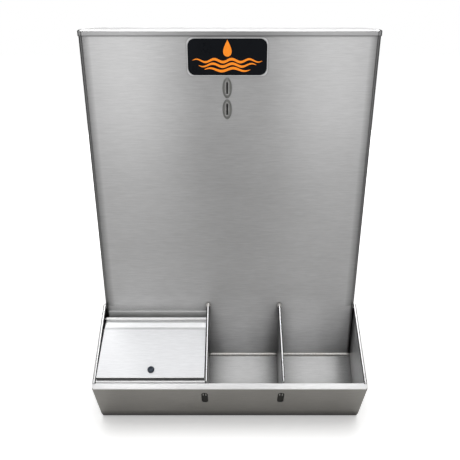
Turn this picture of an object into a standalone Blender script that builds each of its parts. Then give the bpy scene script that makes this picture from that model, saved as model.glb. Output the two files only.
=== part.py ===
"""Livestock medicator: a tall stainless tank that feeds a three-space drinking trough.

A bent wrap, a back and a sloped floor make the tank, and a flanged lid hinges at its rear edge.
The trough is one bent pan between two end plates, and two dividers part it into three spaces.
The left space holds a float valve under a hinged cover.

Metres, +Z up. The drinking side faces -Y, and the object stands on Z = 0 with its footprint
centred on the origin. Profiles are written as (reach, height) pairs: reach is measured along +Y
from the tank's front face, so what stands in front of the tank has a negative reach.
"""

import math

import bmesh
import bpy
from mathutils import Vector

# Clearances
GAP = 0.0003
PIN_CLEARANCE = 0.0003

# Tank
TANK_WIDTH = 0.610
TANK_DEPTH = 0.178
TANK_SHEET = 0.0016
TANK_CORNER_RADIUS = 0.009
TANK_FLANGE = 0.026
BACK_MARGIN = 0.0105
OVERALL_HEIGHT = 0.866
FLOOR_FRONT_HEIGHT = 0.108
FLOOR_REAR_HEIGHT = 0.120
FLOOR_FLANGE = 0.014
FLOOR_EDGE_RADIUS = 0.0012

# Lid and its two hinges
LID_SHEET = 0.0012
LID_CLEARANCE = 0.0004
LID_FLANGE = 0.010
LID_EDGE_RADIUS = 0.0012
HINGE_SPACING = 0.380
HINGE_WIDTH = 0.060
HINGE_KNUCKLE_RADIUS = 0.004
HINGE_PIN_RADIUS = 0.002
HINGE_LEAF_SHEET = 0.002
HINGE_LEAF_HEIGHT = 0.026
HINGE_FLAP_HEIGHT = 0.008
HINGE_DROP = 0.0052

# Trough
TROUGH_SHEET = 0.002
TROUGH_REACH = 0.1715
LIP_OUTER_HEIGHT = 0.127
LIP_BAND_RUN = 0.0080
LIP_BAND_RISE = 0.0098
LIP_RETURN_DROP = 0.0085
LIP_RETURN_LEAN = 0.0025
LIP_BEND_RADIUS = 0.0026
PAN_REAR_HEIGHT = 0.091
PAN_FOOT_SETBACK = 0.0550
PAN_FOOT_WIDTH = 0.0125
PAN_BEND_RADIUS = 0.006
NOTCH_HEIGHT = 0.010
END_LAP = 0.026
PLATE_CORNER_HEIGHT = 0.2484
PLATE_TIP_RADIUS = 0.0040
PLATE_TIP_DROP = 0.016
END_HEM_WIDTH = 0.0070
DIVIDER_HEM_WIDTH = 0.0062
HEM_DEPTH = 0.0036
HEM_ROUNDING = 0.0029
HEM_PROUD = 0.0002
DIVIDER_LEFT_X = -0.0527
DIVIDER_RIGHT_X = 0.1210
WELD_LEG = 0.0045

# Slot welds that tie the dividers to the front wall
SLOT_WIDTH = 0.0150
SLOT_LENGTH = 0.0460
SLOT_LIP_DROP = 0.0200
SLOT_OFFSET = -0.0045
SLOT_RECESS = 0.0007
SLOT_DOME = 0.0005
SLOT_SHOULDER = 0.0023

# Cover of the float space
COVER_SHEET = 0.0015
COVER_SIDE_GAP = 0.0013
COVER_BEND_REACH = 0.0510
COVER_BEND_HEIGHT = 0.2028
COVER_LIP_SETBACK = 0.0057
COVER_LIP_RISE = 0.0085
COVER_FLANGE = 0.0060
COVER_BEND_RADIUS = 0.0022
BARREL_RADIUS = 0.0046
BARREL_REACH = 0.0240
BARREL_HEIGHT = 0.2135
BARREL_CURL = math.radians(298.0)
COVER_PIN_END = 0.0015
BACKING_TOP = 0.2232
BACKING_HEIGHT = 0.036
BACKING_TOP_THICKNESS = 0.0050
BACKING_BOTTOM_THICKNESS = 0.0020

# Rest strip, screw and nut that hold the cover shut
REST_SHEET = 0.0015
REST_LEG = 0.010
REST_LAND = 0.0095
REST_SEAT = 0.022
REST_LIFT = 0.0006
REST_BEND_RADIUS = 0.0021
REST_STEP_RADIUS = 0.0006
SCREW_BACKSET = 0.0185
SCREW_HEAD_RADIUS = 0.0077
SCREW_HEAD_HEIGHT = 0.0042
SCREW_HEAD_EDGE = 0.0015
SCREW_HEAD_FLAT = 0.0050
SCREW_CHAMFER = 0.0010
SCREW_SOCKET_FLATS = 0.0078
SCREW_SOCKET_DEPTH = 0.0026
SCREW_RADIUS = 0.0040
SCREW_HOLE_CLEARANCE = 0.0007
SCREW_TAIL = 0.0030
NUT_FLATS = 0.016
NUT_THICKNESS = 0.0060

# Float valve
VALVE_HEIGHT = 0.126
VALVE_SHANK_RADIUS = 0.010
VALVE_SHANK_LENGTH = 0.022
VALVE_INLET_RADIUS = 0.0055
VALVE_COLLAR_RADIUS = 0.0155
VALVE_COLLAR_THICKNESS = 0.004
VALVE_BARREL_RADIUS = 0.0115
VALVE_BARREL_LENGTH = 0.030
VALVE_SEAT_REACH = 0.0105
VALVE_ORIFICE_RADIUS = 0.0025
VALVE_OUTLET_RADIUS = 0.0035
GASKET_THICKNESS = 0.002
LOCKNUT_FLATS = 0.032
LOCKNUT_THICKNESS = 0.008
PLUNGER_RADIUS = 0.0045
PLUNGER_TIP_RADIUS = 0.0016
PLUNGER_TIP_LENGTH = 0.0050
PLUNGER_WASHER_THICKNESS = 0.002
FORK_LENGTH = 0.0135
FORK_SLOT = 0.0072
LEVER_THICKNESS = 0.0062
LEVER_NOSE_THICKNESS = 0.0056
LEVER_DROP = 0.0075
LEVER_PIN_SETBACK = 0.0056
LEVER_HUB_RADIUS = 0.0037
LEVER_PIN_RADIUS = 0.0019
LEVER_PIN_END = 0.0010
LEVER_NOSE_RADIUS = 0.0024
LEVER_SOCKET_RADIUS = 0.0040
LEVER_SOCKET_END = 0.024
LEVER_STROKE = math.radians(18.0)
LEVER_DOWN_ANGLE = math.radians(35.0)
ROD_RADIUS = 0.0025
ROD_ENGAGEMENT = 0.010
FLOAT_DISTANCE = 0.078
FLOAT_RADIUS = 0.024
FLOAT_LENGTH = 0.110
FLOAT_EDGE_RADIUS = 0.009
FLOAT_BOSS_RADIUS = 0.0065
FLOAT_BOSS_LENGTH = 0.006
FLOAT_BORE_DEPTH = 0.012
FLOAT_NUT_FLATS = 0.0095
FLOAT_NUT_THICKNESS = 0.004

# Gate hangers on the back
HANGER_SPACING = 0.340
HANGER_WIDTH = 0.032
HANGER_SHEET = 0.004
HANGER_LENGTH = 0.180
HANGER_DROP = 0.126
HANGER_THROAT = 0.045
HANGER_TONGUE = 0.050
HANGER_BEND_RADIUS = 0.007

# Badge and vent plates on the tank's front
BADGE_X = -0.0047
BADGE_WIDTH = 0.163
BADGE_HEIGHT = 0.073
BADGE_DROP = 0.013
BADGE_SHEET = 0.0008
BADGE_CORNER_RADIUS = 0.010
VENT_X = -0.0053
VENT_DROP = 0.1107
VENT_PITCH = 0.0436
VENT_WIDTH = 0.0193
VENT_HEIGHT = 0.0412
VENT_SLOT_WIDTH = 0.0036
VENT_SLOT_LENGTH = 0.0235
VENT_RIM_WIDTH = 0.0022
VENT_EDGE = 0.0006
VENT_SHOULDER = 0.0016
VENT_RISE = 0.0024
VENT_HOLE_MARGIN = 0.0006

# Materials: colour, roughness and metallic value
BRUSHED_STAINLESS = ((0.62, 0.62, 0.63), 0.32, 1.0)
DARK_STEEL = ((0.13, 0.14, 0.16), 0.40, 0.8)
BRASS = ((0.66, 0.50, 0.24), 0.30, 1.0)
BLACK_RUBBER = ((0.02, 0.02, 0.02), 0.70, 0.0)
FLOAT_PLASTIC = ((0.72, 0.12, 0.06), 0.45, 0.0)
BADGE_BLACK = ((0.012, 0.014, 0.018), 0.35, 0.0)

# Length past a face that a cutter runs, and the drawn size of an empty
CUT_MARGIN = 0.008
MARKER_SIZE = 0.02

# Mesh fineness
BEND_STEPS = 6
ARC_STEPS = 10
ROUND_SEGMENTS = 32
HEX_SIDES = 6
OVAL_END = 0.02
SMOOTH_ANGLE = math.radians(35.0)

# Sizes that follow from those above
LIP_INNER_REACH = TROUGH_REACH - LIP_BAND_RUN
LIP_INNER_HEIGHT = LIP_OUTER_HEIGHT + LIP_BAND_RISE
PAN_FOOT_FRONT = TROUGH_REACH - PAN_FOOT_SETBACK
PAN_FOOT_REAR = PAN_FOOT_FRONT - PAN_FOOT_WIDTH
COVER_FRONT_REACH = LIP_INNER_REACH - COVER_LIP_SETBACK
COVER_FRONT_HEIGHT = LIP_INNER_HEIGHT + COVER_LIP_RISE
SLOT_TOP_HEIGHT = LIP_OUTER_HEIGHT - SLOT_LIP_DROP
BADGE_TOP = OVERALL_HEIGHT - BADGE_DROP
VENT_TOP_CENTRE = OVERALL_HEIGHT - VENT_DROP
HANGER_TOP_HEIGHT = OVERALL_HEIGHT - HANGER_DROP
HANGER_REACH = HANGER_SHEET + HANGER_THROAT + HANGER_SHEET + GAP
TANK_SIDE_X = TANK_WIDTH / 2
WALL_TOP = OVERALL_HEIGHT - LID_SHEET - GAP
END_INNER_X = TANK_SIDE_X + GAP
END_OUTER_X = END_INNER_X + TROUGH_SHEET
PAN_END_X = END_INNER_X - GAP
LID_OVERHANG = LID_CLEARANCE + LID_SHEET
LID_AXIS_REACH = TANK_DEPTH + LID_OVERHANG + GAP + HINGE_KNUCKLE_RADIUS
LID_AXIS_HEIGHT = OVERALL_HEIGHT - LID_FLANGE - HINGE_DROP
FLOAT_SPACE_LEFT = -END_OUTER_X + END_HEM_WIDTH
FLOAT_SPACE_RIGHT = DIVIDER_LEFT_X - DIVIDER_HEM_WIDTH / 2
FLOAT_SPACE_X = (FLOAT_SPACE_LEFT + FLOAT_SPACE_RIGHT) / 2
VALVE_COLLAR_START = GASKET_THICKNESS + 2.0 * GAP
VALVE_COLLAR_END = VALVE_COLLAR_START + VALVE_COLLAR_THICKNESS
VALVE_BARREL_END = VALVE_COLLAR_END + VALVE_BARREL_LENGTH


def clear_scene():
    """Remove every object and mesh that the scene starts with."""
    for item in list(bpy.data.objects):
        bpy.data.objects.remove(item, do_unlink=True)
    for item in list(bpy.data.meshes):
        bpy.data.meshes.remove(item)


def make_material(name, colour, roughness, metallic):
    """Return a Principled material of one plain colour."""
    material = bpy.data.materials.new(name)
    material.use_nodes = True
    shader = material.node_tree.nodes["Principled BSDF"]
    shader.inputs["Base Color"].default_value = (*colour, 1.0)
    shader.inputs["Roughness"].default_value = roughness
    shader.inputs["Metallic"].default_value = metallic
    material.diffuse_color = (*colour, 1.0)
    return material


def make_empty(name, location, parent=None):
    """Return an empty that marks a frame or a joint axis."""
    empty = bpy.data.objects.new(name, None)
    empty.empty_display_size = MARKER_SIZE
    bpy.context.collection.objects.link(empty)
    place(empty, location, parent)
    return empty


def frame_location(item):
    """Return where an item stands in the frame of the tank's front face."""
    if item is None or item.parent is None:
        return Vector((0.0, 0.0, 0.0))
    return item.location + frame_location(item.parent)


def place(item, location, parent, rotation=(0.0, 0.0, 0.0)):
    """Parent an item, and set it at a location given in the tank front's frame."""
    item.parent = parent
    item.location = Vector(location) - frame_location(parent)
    item.rotation_euler = rotation


def finish_mesh(name, bm, material):
    """Turn a bmesh into a named object with its own material, shaded smooth up to a fold."""
    bmesh.ops.recalc_face_normals(bm, faces=bm.faces[:])
    mesh = bpy.data.meshes.new(name)
    bm.to_mesh(mesh)
    bm.free()
    mesh.shade_smooth()
    mesh.set_sharp_from_angle(angle=SMOOTH_ANGLE)
    item = bpy.data.objects.new(name, mesh)
    bpy.context.collection.objects.link(item)
    if material is not None:
        mesh.materials.append(material)
    return item


def bridge(bm, first, second):
    """Join two rings of vertices by a band of faces; a ring of one vertex is a pole."""
    count = max(len(first), len(second))
    for index in range(count):
        after = (index + 1) % count
        corners = [
            first[index % len(first)],
            first[after % len(first)],
            second[after % len(second)],
            second[index % len(second)],
        ]
        bm.faces.new(list(dict.fromkeys(corners)))


def loft(rings, ring_shaped=False):
    """Return a bmesh through rings of points, closed by end faces or back onto the first ring."""
    bm = bmesh.new()
    loops = [[bm.verts.new(point) for point in ring] for ring in rings]
    for first, second in zip(loops, loops[1:]):
        bridge(bm, first, second)
    if ring_shaped:
        bridge(bm, loops[-1], loops[0])
    else:
        for end in (loops[0], loops[-1]):
            if len(end) > 2:
                bm.faces.new(end)
    return bm


def prism_x(outline, x_start, x_end):
    """Return a bmesh of a (reach, height) outline drawn out along X."""
    rings = [[(x, reach, height) for reach, height in outline] for x in (x_start, x_end)]
    return loft(rings)


def turned(profile, segments=ROUND_SEGMENTS, ring_shaped=False):
    """Return a bmesh turned about Z from (radius, height) points."""
    rings = []
    for radius, height in profile:
        if radius == 0.0:
            rings.append([(0.0, 0.0, height)])
            continue
        turns = [2.0 * math.pi * step / segments for step in range(segments)]
        rings.append([(radius * math.cos(turn), radius * math.sin(turn), height) for turn in turns])
    return loft(rings, ring_shaped)


def disc_profile(radius, start, end):
    """Return the profile of a plain solid cylinder along Z."""
    return [(0.0, start), (radius, start), (radius, end), (0.0, end)]


def tube_profile(inner, outer, start, end):
    """Return the profile of a plain tube along Z."""
    return [(inner, start), (outer, start), (outer, end), (inner, end)]


def hex_nut(flats, bore, thickness):
    """Return a bmesh of a hexagon nut along Z with a round bore."""
    corner = flats / math.sqrt(3.0)
    rings = []
    steps = HEX_SIDES * 4
    for radius_of, height in (("bore", 0.0), ("hex", 0.0), ("hex", thickness), ("bore", thickness)):
        ring = []
        for step in range(steps):
            turn = 2.0 * math.pi * step / steps
            radius = bore
            if radius_of == "hex":
                offset = turn % (math.pi / 3.0) - math.pi / 6.0
                radius = corner * math.cos(math.pi / 6.0) / math.cos(offset)
            ring.append((radius * math.cos(turn), radius * math.sin(turn), height))
        rings.append(ring)
    return loft(rings, ring_shaped=True)


def rounded_path(points, radii, steps=BEND_STEPS):
    """Return an open path with its inner corners rounded, as points with their left normals."""
    path = []
    starts = [Vector(point) for point in points]
    first_way = (starts[1] - starts[0]).normalized()
    path.append((starts[0], Vector((-first_way.y, first_way.x))))
    for index in range(1, len(starts) - 1):
        corner = starts[index]
        way_in = (corner - starts[index - 1]).normalized()
        way_out = (starts[index + 1] - corner).normalized()
        turn = math.atan2(way_in.cross(way_out), way_in.dot(way_out))
        radius = radii[index - 1]
        setback = radius * math.tan(abs(turn) / 2.0)
        side = 1.0 if turn > 0.0 else -1.0
        normal_in = Vector((-way_in.y, way_in.x))
        centre = corner - way_in * setback + normal_in * radius * side
        for step in range(steps + 1):
            angle = turn * step / steps
            normal = Vector((
                normal_in.x * math.cos(angle) - normal_in.y * math.sin(angle),
                normal_in.x * math.sin(angle) + normal_in.y * math.cos(angle),
            ))
            path.append((centre - normal * radius * side, normal))
    last_way = (starts[-1] - starts[-2]).normalized()
    path.append((starts[-1], Vector((-last_way.y, last_way.x))))
    return path


def sheet_outline(path, thickness):
    """Return the outline of a bent sheet whose outer face is the path, drawn on its right."""
    outer = [point for point, _ in path]
    inner = [point - normal * thickness for point, normal in path]
    return [tuple(point) for point in outer + inner[::-1]]


def bent_sheet(points, radii, thickness):
    """Return the outline of a sheet bent along a path, with the radius of each outer bend."""
    return sheet_outline(rounded_path(points, radii), thickness)


def rounded_box(width, depth, radius, steps=BEND_STEPS):
    """Return a rectangle outline about the origin with round corners."""
    outline = []
    for sign_x, sign_y, start in ((1, 1, 0.0), (-1, 1, 0.5), (-1, -1, 1.0), (1, -1, 1.5)):
        centre_x = sign_x * (width / 2.0 - radius)
        centre_y = sign_y * (depth / 2.0 - radius)
        for step in range(steps + 1):
            turn = math.pi * (start + 0.5 * step / steps)
            outline.append((centre_x + radius * math.cos(turn), centre_y + radius * math.sin(turn)))
    return outline


def obround(width, length, steps=ARC_STEPS):
    """Return a slot outline about the origin, long along its second axis."""
    radius = width / 2.0
    shift = length / 2.0 - radius
    outline = []
    for sign in (1.0, -1.0):
        for step in range(steps + 1):
            turn = math.pi * step / steps
            outline.append((sign * radius * math.cos(turn), sign * (shift + radius * math.sin(turn))))
    return outline


def oval(width, length, steps=ARC_STEPS):
    """Return an ellipse outline with its points in step with those of a slot outline."""
    outline = []
    for sign in (1.0, -1.0):
        for step in range(steps + 1):
            turn = math.pi * (OVAL_END + (1.0 - 2.0 * OVAL_END) * step / steps)
            point_x = sign * width / 2.0 * math.cos(turn)
            outline.append((point_x, sign * length / 2.0 * math.sin(turn)))
    return outline


def add_boolean(target, other, operation):
    """Cut or join another object into a target, and mark it as a guide."""
    modifier = target.modifiers.new(other.name, "BOOLEAN")
    modifier.operation = operation
    modifier.object = other
    other.hide_render = True
    other.display_type = "WIRE"


def drill(target, name, location, radius, length, parent, rotation=(0.0, 0.0, 0.0)):
    """Cut a round hole along a cutter's own Z, centred on a location."""
    cutter = finish_mesh(name, turned(disc_profile(radius, -length / 2.0, length / 2.0)), None)
    place(cutter, location, parent, rotation)
    add_boolean(target, cutter, "DIFFERENCE")


def plate_point(reach, height):
    """Return a trough profile point from a distance in front of the tank and a height."""
    return (-reach, height)


# Points of the trough's profile, on the sheet's outer face
PAN_REAR = plate_point(GAP, PAN_REAR_HEIGHT)
FOOT_REAR = plate_point(PAN_FOOT_REAR, 0.0)
FOOT_FRONT = plate_point(PAN_FOOT_FRONT, 0.0)
LIP_OUTER = plate_point(TROUGH_REACH, LIP_OUTER_HEIGHT)
LIP_INNER = plate_point(LIP_INNER_REACH, LIP_INNER_HEIGHT)
LIP_RETURN = plate_point(LIP_INNER_REACH - LIP_RETURN_LEAN, LIP_INNER_HEIGHT - LIP_RETURN_DROP)

RETURN_LENGTH = math.hypot(LIP_RETURN_LEAN, LIP_RETURN_DROP)
RETURN_FOOT = LIP_RETURN[1] - TROUGH_SHEET * LIP_RETURN_LEAN / RETURN_LENGTH - GAP

ALONG_Y = (math.radians(90.0), 0.0, 0.0)
ALONG_X = (0.0, math.radians(90.0), 0.0)


def line_height(start, end, reach):
    """Return the height of a straight line through two profile points at a reach."""
    share = (reach - start[0]) / (end[0] - start[0])
    return start[1] + share * (end[1] - start[1])


def offset_line(start, end, distance):
    """Return two profile points moved to the right of their line by a distance."""
    way = (Vector(end) - Vector(start)).normalized()
    shift = Vector((way.y, -way.x)) * distance
    return tuple(Vector(start) + shift), tuple(Vector(end) + shift)


def crossing(first, second):
    """Return where two lines, each given by two points, cross."""
    origin = Vector(first[0])
    way = Vector(first[1]) - origin
    other = Vector(second[0])
    other_way = Vector(second[1]) - other
    share = (other - origin).cross(other_way) / way.cross(other_way)
    return tuple(origin + way * share)


def build_tank(root, steel):
    """Build the wrap, the back and the floor of the tank."""
    side = TANK_SIDE_X
    rear = TANK_DEPTH - TANK_SHEET - GAP
    plan = [
        (-side + TANK_FLANGE, rear),
        (-side, rear),
        (-side, 0.0),
        (side, 0.0),
        (side, rear),
        (side - TANK_FLANGE, rear),
    ]
    outline = bent_sheet(plan, [TANK_CORNER_RADIUS] * 4, -TANK_SHEET)
    rings = [[(x, y, height) for x, y in outline] for height in (0.0, WALL_TOP)]
    wrap = finish_mesh("tank_wrap", loft(rings), steel)
    place(wrap, (0.0, 0.0, 0.0), root)
    drill(wrap, "wrap_outlet_cutter", (FLOAT_SPACE_X, 0.0, VALVE_HEIGHT),
          VALVE_SHANK_RADIUS + PIN_CLEARANCE, TANK_CORNER_RADIUS, root, ALONG_Y)
    for name, height in vent_places():
        slot = obround(VENT_SLOT_WIDTH + VENT_HOLE_MARGIN, VENT_SLOT_LENGTH + VENT_HOLE_MARGIN)
        rings = [[(x, y, z) for x, z in slot] for y in (-TANK_SHEET, 2.0 * TANK_SHEET)]
        cutter = finish_mesh(f"wrap_{name}_cutter", loft(rings), None)
        place(cutter, (VENT_X, 0.0, height), root)
        add_boolean(wrap, cutter, "DIFFERENCE")

    back_width = TANK_WIDTH - 2.0 * BACK_MARGIN
    back = finish_mesh("tank_back", prism_x([
        (TANK_DEPTH - TANK_SHEET, 0.0),
        (TANK_DEPTH, 0.0),
        (TANK_DEPTH, WALL_TOP),
        (TANK_DEPTH - TANK_SHEET, WALL_TOP),
    ], -back_width / 2.0, back_width / 2.0), steel)
    place(back, (0.0, 0.0, 0.0), root)

    inset = TANK_SHEET + GAP
    depth = rear - 2.0 * inset
    fall = (FLOOR_REAR_HEIGHT - FLOOR_FRONT_HEIGHT) / depth
    middle = (FLOOR_REAR_HEIGHT + FLOOR_FRONT_HEIGHT) / 2.0
    floor = finish_mesh("tank_floor", tray(
        TANK_WIDTH - 2.0 * inset, depth, TANK_CORNER_RADIUS - inset,
        FLOOR_EDGE_RADIUS, FLOOR_FLANGE, TANK_SHEET, fall), steel)
    place(floor, (0.0, rear / 2.0, middle), root)


def tray(width, depth, corner, edge_radius, flange, sheet, fall=0.0):
    """Return a bmesh of a flanged plate about the origin; its top rises by fall along +Y."""
    chamfer = edge_radius * (1.0 - math.cos(math.radians(45.0)))
    layers = (
        (edge_radius, 0.0),
        (chamfer, -chamfer),
        (0.0, -edge_radius),
        (0.0, -flange),
        (sheet, -flange),
        (sheet, -sheet),
    )
    rings = []
    for inset, height in layers:
        outline = rounded_box(width - 2.0 * inset, depth - 2.0 * inset, corner - inset)
        rings.append([(x, y, height + fall * y) for x, y in outline])
    return loft(rings)


def build_lid(root, lid_axis, steel):
    """Build the flanged lid and its two hinges."""
    width = TANK_WIDTH + 2.0 * LID_OVERHANG
    depth = TANK_DEPTH + 2.0 * LID_OVERHANG
    lid = finish_mesh("lid", tray(
        width, depth, TANK_CORNER_RADIUS + LID_OVERHANG, LID_EDGE_RADIUS, LID_FLANGE, LID_SHEET), steel)
    place(lid, (0.0, TANK_DEPTH / 2.0, OVERALL_HEIGHT), lid_axis)

    flap_face = TANK_DEPTH + LID_OVERHANG + GAP
    axis_reach = LID_AXIS_REACH
    axis_height = LID_AXIS_HEIGHT
    third = HINGE_WIDTH / 3.0
    for sign, word in ((-1.0, "left"), (1.0, "right")):
        middle = sign * HINGE_SPACING / 2.0
        leaf_profile = knuckle_outline(axis_reach, axis_height, TANK_DEPTH + GAP,
                                       flap_face + HINGE_LEAF_SHEET, -HINGE_LEAF_HEIGHT)
        leaf = finish_mesh(f"lid_hinge_leaf_{word}", prism_x(
            leaf_profile, middle - HINGE_WIDTH / 2.0, middle + HINGE_WIDTH / 2.0), steel)
        place(leaf, (0.0, 0.0, 0.0), root)
        notch_low = axis_height - HINGE_KNUCKLE_RADIUS - GAP
        notch = finish_mesh(f"lid_hinge_notch_{word}", prism_x([
            (TANK_DEPTH, notch_low),
            (axis_reach + CUT_MARGIN, notch_low),
            (axis_reach + CUT_MARGIN, axis_height + CUT_MARGIN),
            (TANK_DEPTH, axis_height + CUT_MARGIN),
        ], middle - third / 2.0 - GAP, middle + third / 2.0 + GAP), None)
        place(notch, (0.0, 0.0, 0.0), root)
        add_boolean(leaf, notch, "DIFFERENCE")
        drill(leaf, f"lid_hinge_leaf_bore_{word}", (middle, axis_reach, axis_height),
              HINGE_PIN_RADIUS + PIN_CLEARANCE, HINGE_WIDTH * 2.0, root, ALONG_X)

        flap_top = HINGE_DROP + HINGE_FLAP_HEIGHT
        flap_profile = knuckle_outline(axis_reach, axis_height, flap_face,
                                       flap_face + HINGE_LEAF_SHEET, flap_top)
        flap = finish_mesh(f"lid_hinge_flap_{word}", prism_x(
            flap_profile, middle - third / 2.0, middle + third / 2.0), steel)
        place(flap, (0.0, 0.0, 0.0), lid_axis)
        drill(flap, f"lid_hinge_flap_bore_{word}", (middle, axis_reach, axis_height),
              HINGE_PIN_RADIUS + PIN_CLEARANCE, HINGE_WIDTH * 2.0, lid_axis, ALONG_X)

        pin_half = HINGE_WIDTH / 2.0 + HINGE_PIN_RADIUS
        pin = finish_mesh(f"lid_hinge_pin_{word}", turned(
            disc_profile(HINGE_PIN_RADIUS, -pin_half, pin_half), ROUND_SEGMENTS // 2), steel)
        place(pin, (middle, axis_reach, axis_height), root, ALONG_X)


def knuckle_outline(axis_reach, axis_height, inner, outer, end):
    """Return the outline of a hinge leaf with its knuckle; end is its far height from the axis."""
    radius = HINGE_KNUCKLE_RADIUS
    up = 1.0 if end > 0.0 else -1.0
    outline = [(inner, axis_height + end), (outer, axis_height + end)]
    start = math.asin(min(1.0, (axis_reach - outer) / radius))
    outline.append((outer, axis_height + up * radius * math.cos(start)))
    steps = ARC_STEPS * 2
    sweep = math.pi * 1.5 + start
    for step in range(1, steps + 1):
        turn = -start + sweep * step / steps
        outline.append((
            axis_reach + radius * math.sin(turn),
            axis_height + up * radius * math.cos(turn),
        ))
    if inner < axis_reach - radius:
        outline.append((inner, axis_height))
    return outline


def vent_places():
    """Yield the name and the centre height of each vent."""
    return (("upper", VENT_TOP_CENTRE), ("lower", VENT_TOP_CENTRE - VENT_PITCH))


def build_front_fittings(root, steel, badge_paint):
    """Build the badge and the two oval vent plates."""
    outline = rounded_box(BADGE_WIDTH, BADGE_HEIGHT, BADGE_CORNER_RADIUS)
    rings = [[(x, y, z) for x, z in outline] for y in (-GAP, -GAP - BADGE_SHEET)]
    badge = finish_mesh("badge_plate", loft(rings), badge_paint)
    place(badge, (BADGE_X, 0.0, BADGE_TOP - BADGE_HEIGHT / 2.0), root)

    crest = VENT_SLOT_WIDTH + VENT_RIM_WIDTH
    crest_length = VENT_SLOT_LENGTH + VENT_RIM_WIDTH
    foot = crest + 2.0 * VENT_RIM_WIDTH
    foot_length = crest_length + 2.0 * VENT_RIM_WIDTH
    layers = (
        (oval(VENT_WIDTH, VENT_HEIGHT), 0.0),
        (oval(VENT_WIDTH, VENT_HEIGHT), VENT_EDGE),
        (obround(foot, foot_length), VENT_SHOULDER),
        (obround(crest + VENT_RIM_WIDTH / 2.0, crest_length + VENT_RIM_WIDTH / 2.0), VENT_RISE),
        (obround(crest, crest_length), VENT_RISE),
        (obround(VENT_SLOT_WIDTH, VENT_SLOT_LENGTH), VENT_SHOULDER),
        (obround(VENT_SLOT_WIDTH, VENT_SLOT_LENGTH), 0.0),
    )
    for name, height in vent_places():
        rings = [[(x, -GAP - rise, z) for x, z in outline] for outline, rise in layers]
        plate = finish_mesh(f"vent_plate_{name}", loft(rings, ring_shaped=True), steel)
        place(plate, (VENT_X, 0.0, height), root)


def pan_path():
    """Return the path of the pan's outer face, from its rear edge to the end of the lip's return."""
    points = [PAN_REAR, FOOT_REAR, FOOT_FRONT, LIP_OUTER, LIP_INNER, LIP_RETURN]
    radii = [PAN_BEND_RADIUS, PAN_BEND_RADIUS, LIP_BEND_RADIUS, LIP_BEND_RADIUS]
    return rounded_path(points, radii)


def tank_front_y():
    """Return where the tank's front stands along Y when the whole depth is centred on Y = 0."""
    lip_reach = max(-point.x for point, _ in pan_path())
    return (lip_reach - TANK_DEPTH - HANGER_REACH) / 2.0


def build_pan(root, steel):
    """Build the bent trough pan with its slots, and the weld beads at its rear edge."""
    outline = sheet_outline(pan_path(), TROUGH_SHEET)
    pan = finish_mesh("trough_pan", prism_x(outline, -END_OUTER_X, END_OUTER_X), steel)
    place(pan, (0.0, 0.0, 0.0), root)
    lip_cut = -LIP_INNER_REACH - LIP_BEND_RADIUS
    for sign, word in ((-1.0, "left"), (1.0, "right")):
        sides = sorted((sign * PAN_END_X, sign * (END_OUTER_X + CUT_MARGIN)))
        floor_notch = finish_mesh(f"pan_floor_notch_{word}", prism_x([
            (-PAN_FOOT_FRONT - CUT_MARGIN, -CUT_MARGIN),
            (CUT_MARGIN, -CUT_MARGIN),
            (CUT_MARGIN, PAN_REAR_HEIGHT + 2.0 * CUT_MARGIN),
            (-PAN_FOOT_FRONT + CUT_MARGIN, NOTCH_HEIGHT),
            (-PAN_FOOT_FRONT - CUT_MARGIN, NOTCH_HEIGHT),
        ], *sides), None)
        hem_x = END_OUTER_X - END_HEM_WIDTH - GAP
        lip_sides = sorted((sign * hem_x, sign * (END_OUTER_X + CUT_MARGIN)))
        return_notch = finish_mesh(f"pan_return_notch_{word}", prism_x([
            (lip_cut, LIP_INNER_HEIGHT - 2.0 * LIP_RETURN_DROP),
            (lip_cut + 2.0 * CUT_MARGIN, LIP_INNER_HEIGHT - 2.0 * LIP_RETURN_DROP),
            (lip_cut + 2.0 * CUT_MARGIN, LIP_INNER_HEIGHT + CUT_MARGIN),
            (lip_cut, LIP_INNER_HEIGHT + CUT_MARGIN),
        ], *lip_sides), None)
        for notch in (floor_notch, return_notch):
            place(notch, (0.0, 0.0, 0.0), root)
            add_boolean(pan, notch, "DIFFERENCE")
    build_slot_welds(root, pan, steel)

    pan_top = offset_line(PAN_REAR, FOOT_REAR, TROUGH_SHEET + GAP)
    weld_back = -2.0 * GAP
    corner = Vector((weld_back, line_height(pan_top[0], pan_top[1], weld_back)))
    down_pan = (Vector(pan_top[1]) - Vector(pan_top[0])).normalized()
    half_turn = Vector((0.0, -1.0)).angle(down_pan) / 2.0
    fillet = rounded_path(
        [corner + Vector((0.0, WELD_LEG)), corner, corner + down_pan * WELD_LEG],
        [WELD_LEG / math.tan(half_turn)])
    bead = [tuple(corner)] + [tuple(point) for point, _ in fillet[1:-1]]
    spaces = (
        ("left", -PAN_END_X, DIVIDER_LEFT_X - TROUGH_SHEET / 2.0),
        ("middle", DIVIDER_LEFT_X + TROUGH_SHEET / 2.0, DIVIDER_RIGHT_X - TROUGH_SHEET / 2.0),
        ("right", DIVIDER_RIGHT_X + TROUGH_SHEET / 2.0, PAN_END_X),
    )
    for word, start, end in spaces:
        weld = finish_mesh(f"pan_weld_{word}", prism_x(bead, start + GAP, end - GAP), steel)
        place(weld, (0.0, 0.0, 0.0), root)


def wall_frame():
    """Return the front wall's foot point, its way up and its outward normal."""
    foot = Vector(FOOT_FRONT)
    way = (Vector(LIP_OUTER) - foot).normalized()
    return foot, way, Vector((-way.y, way.x))


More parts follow.
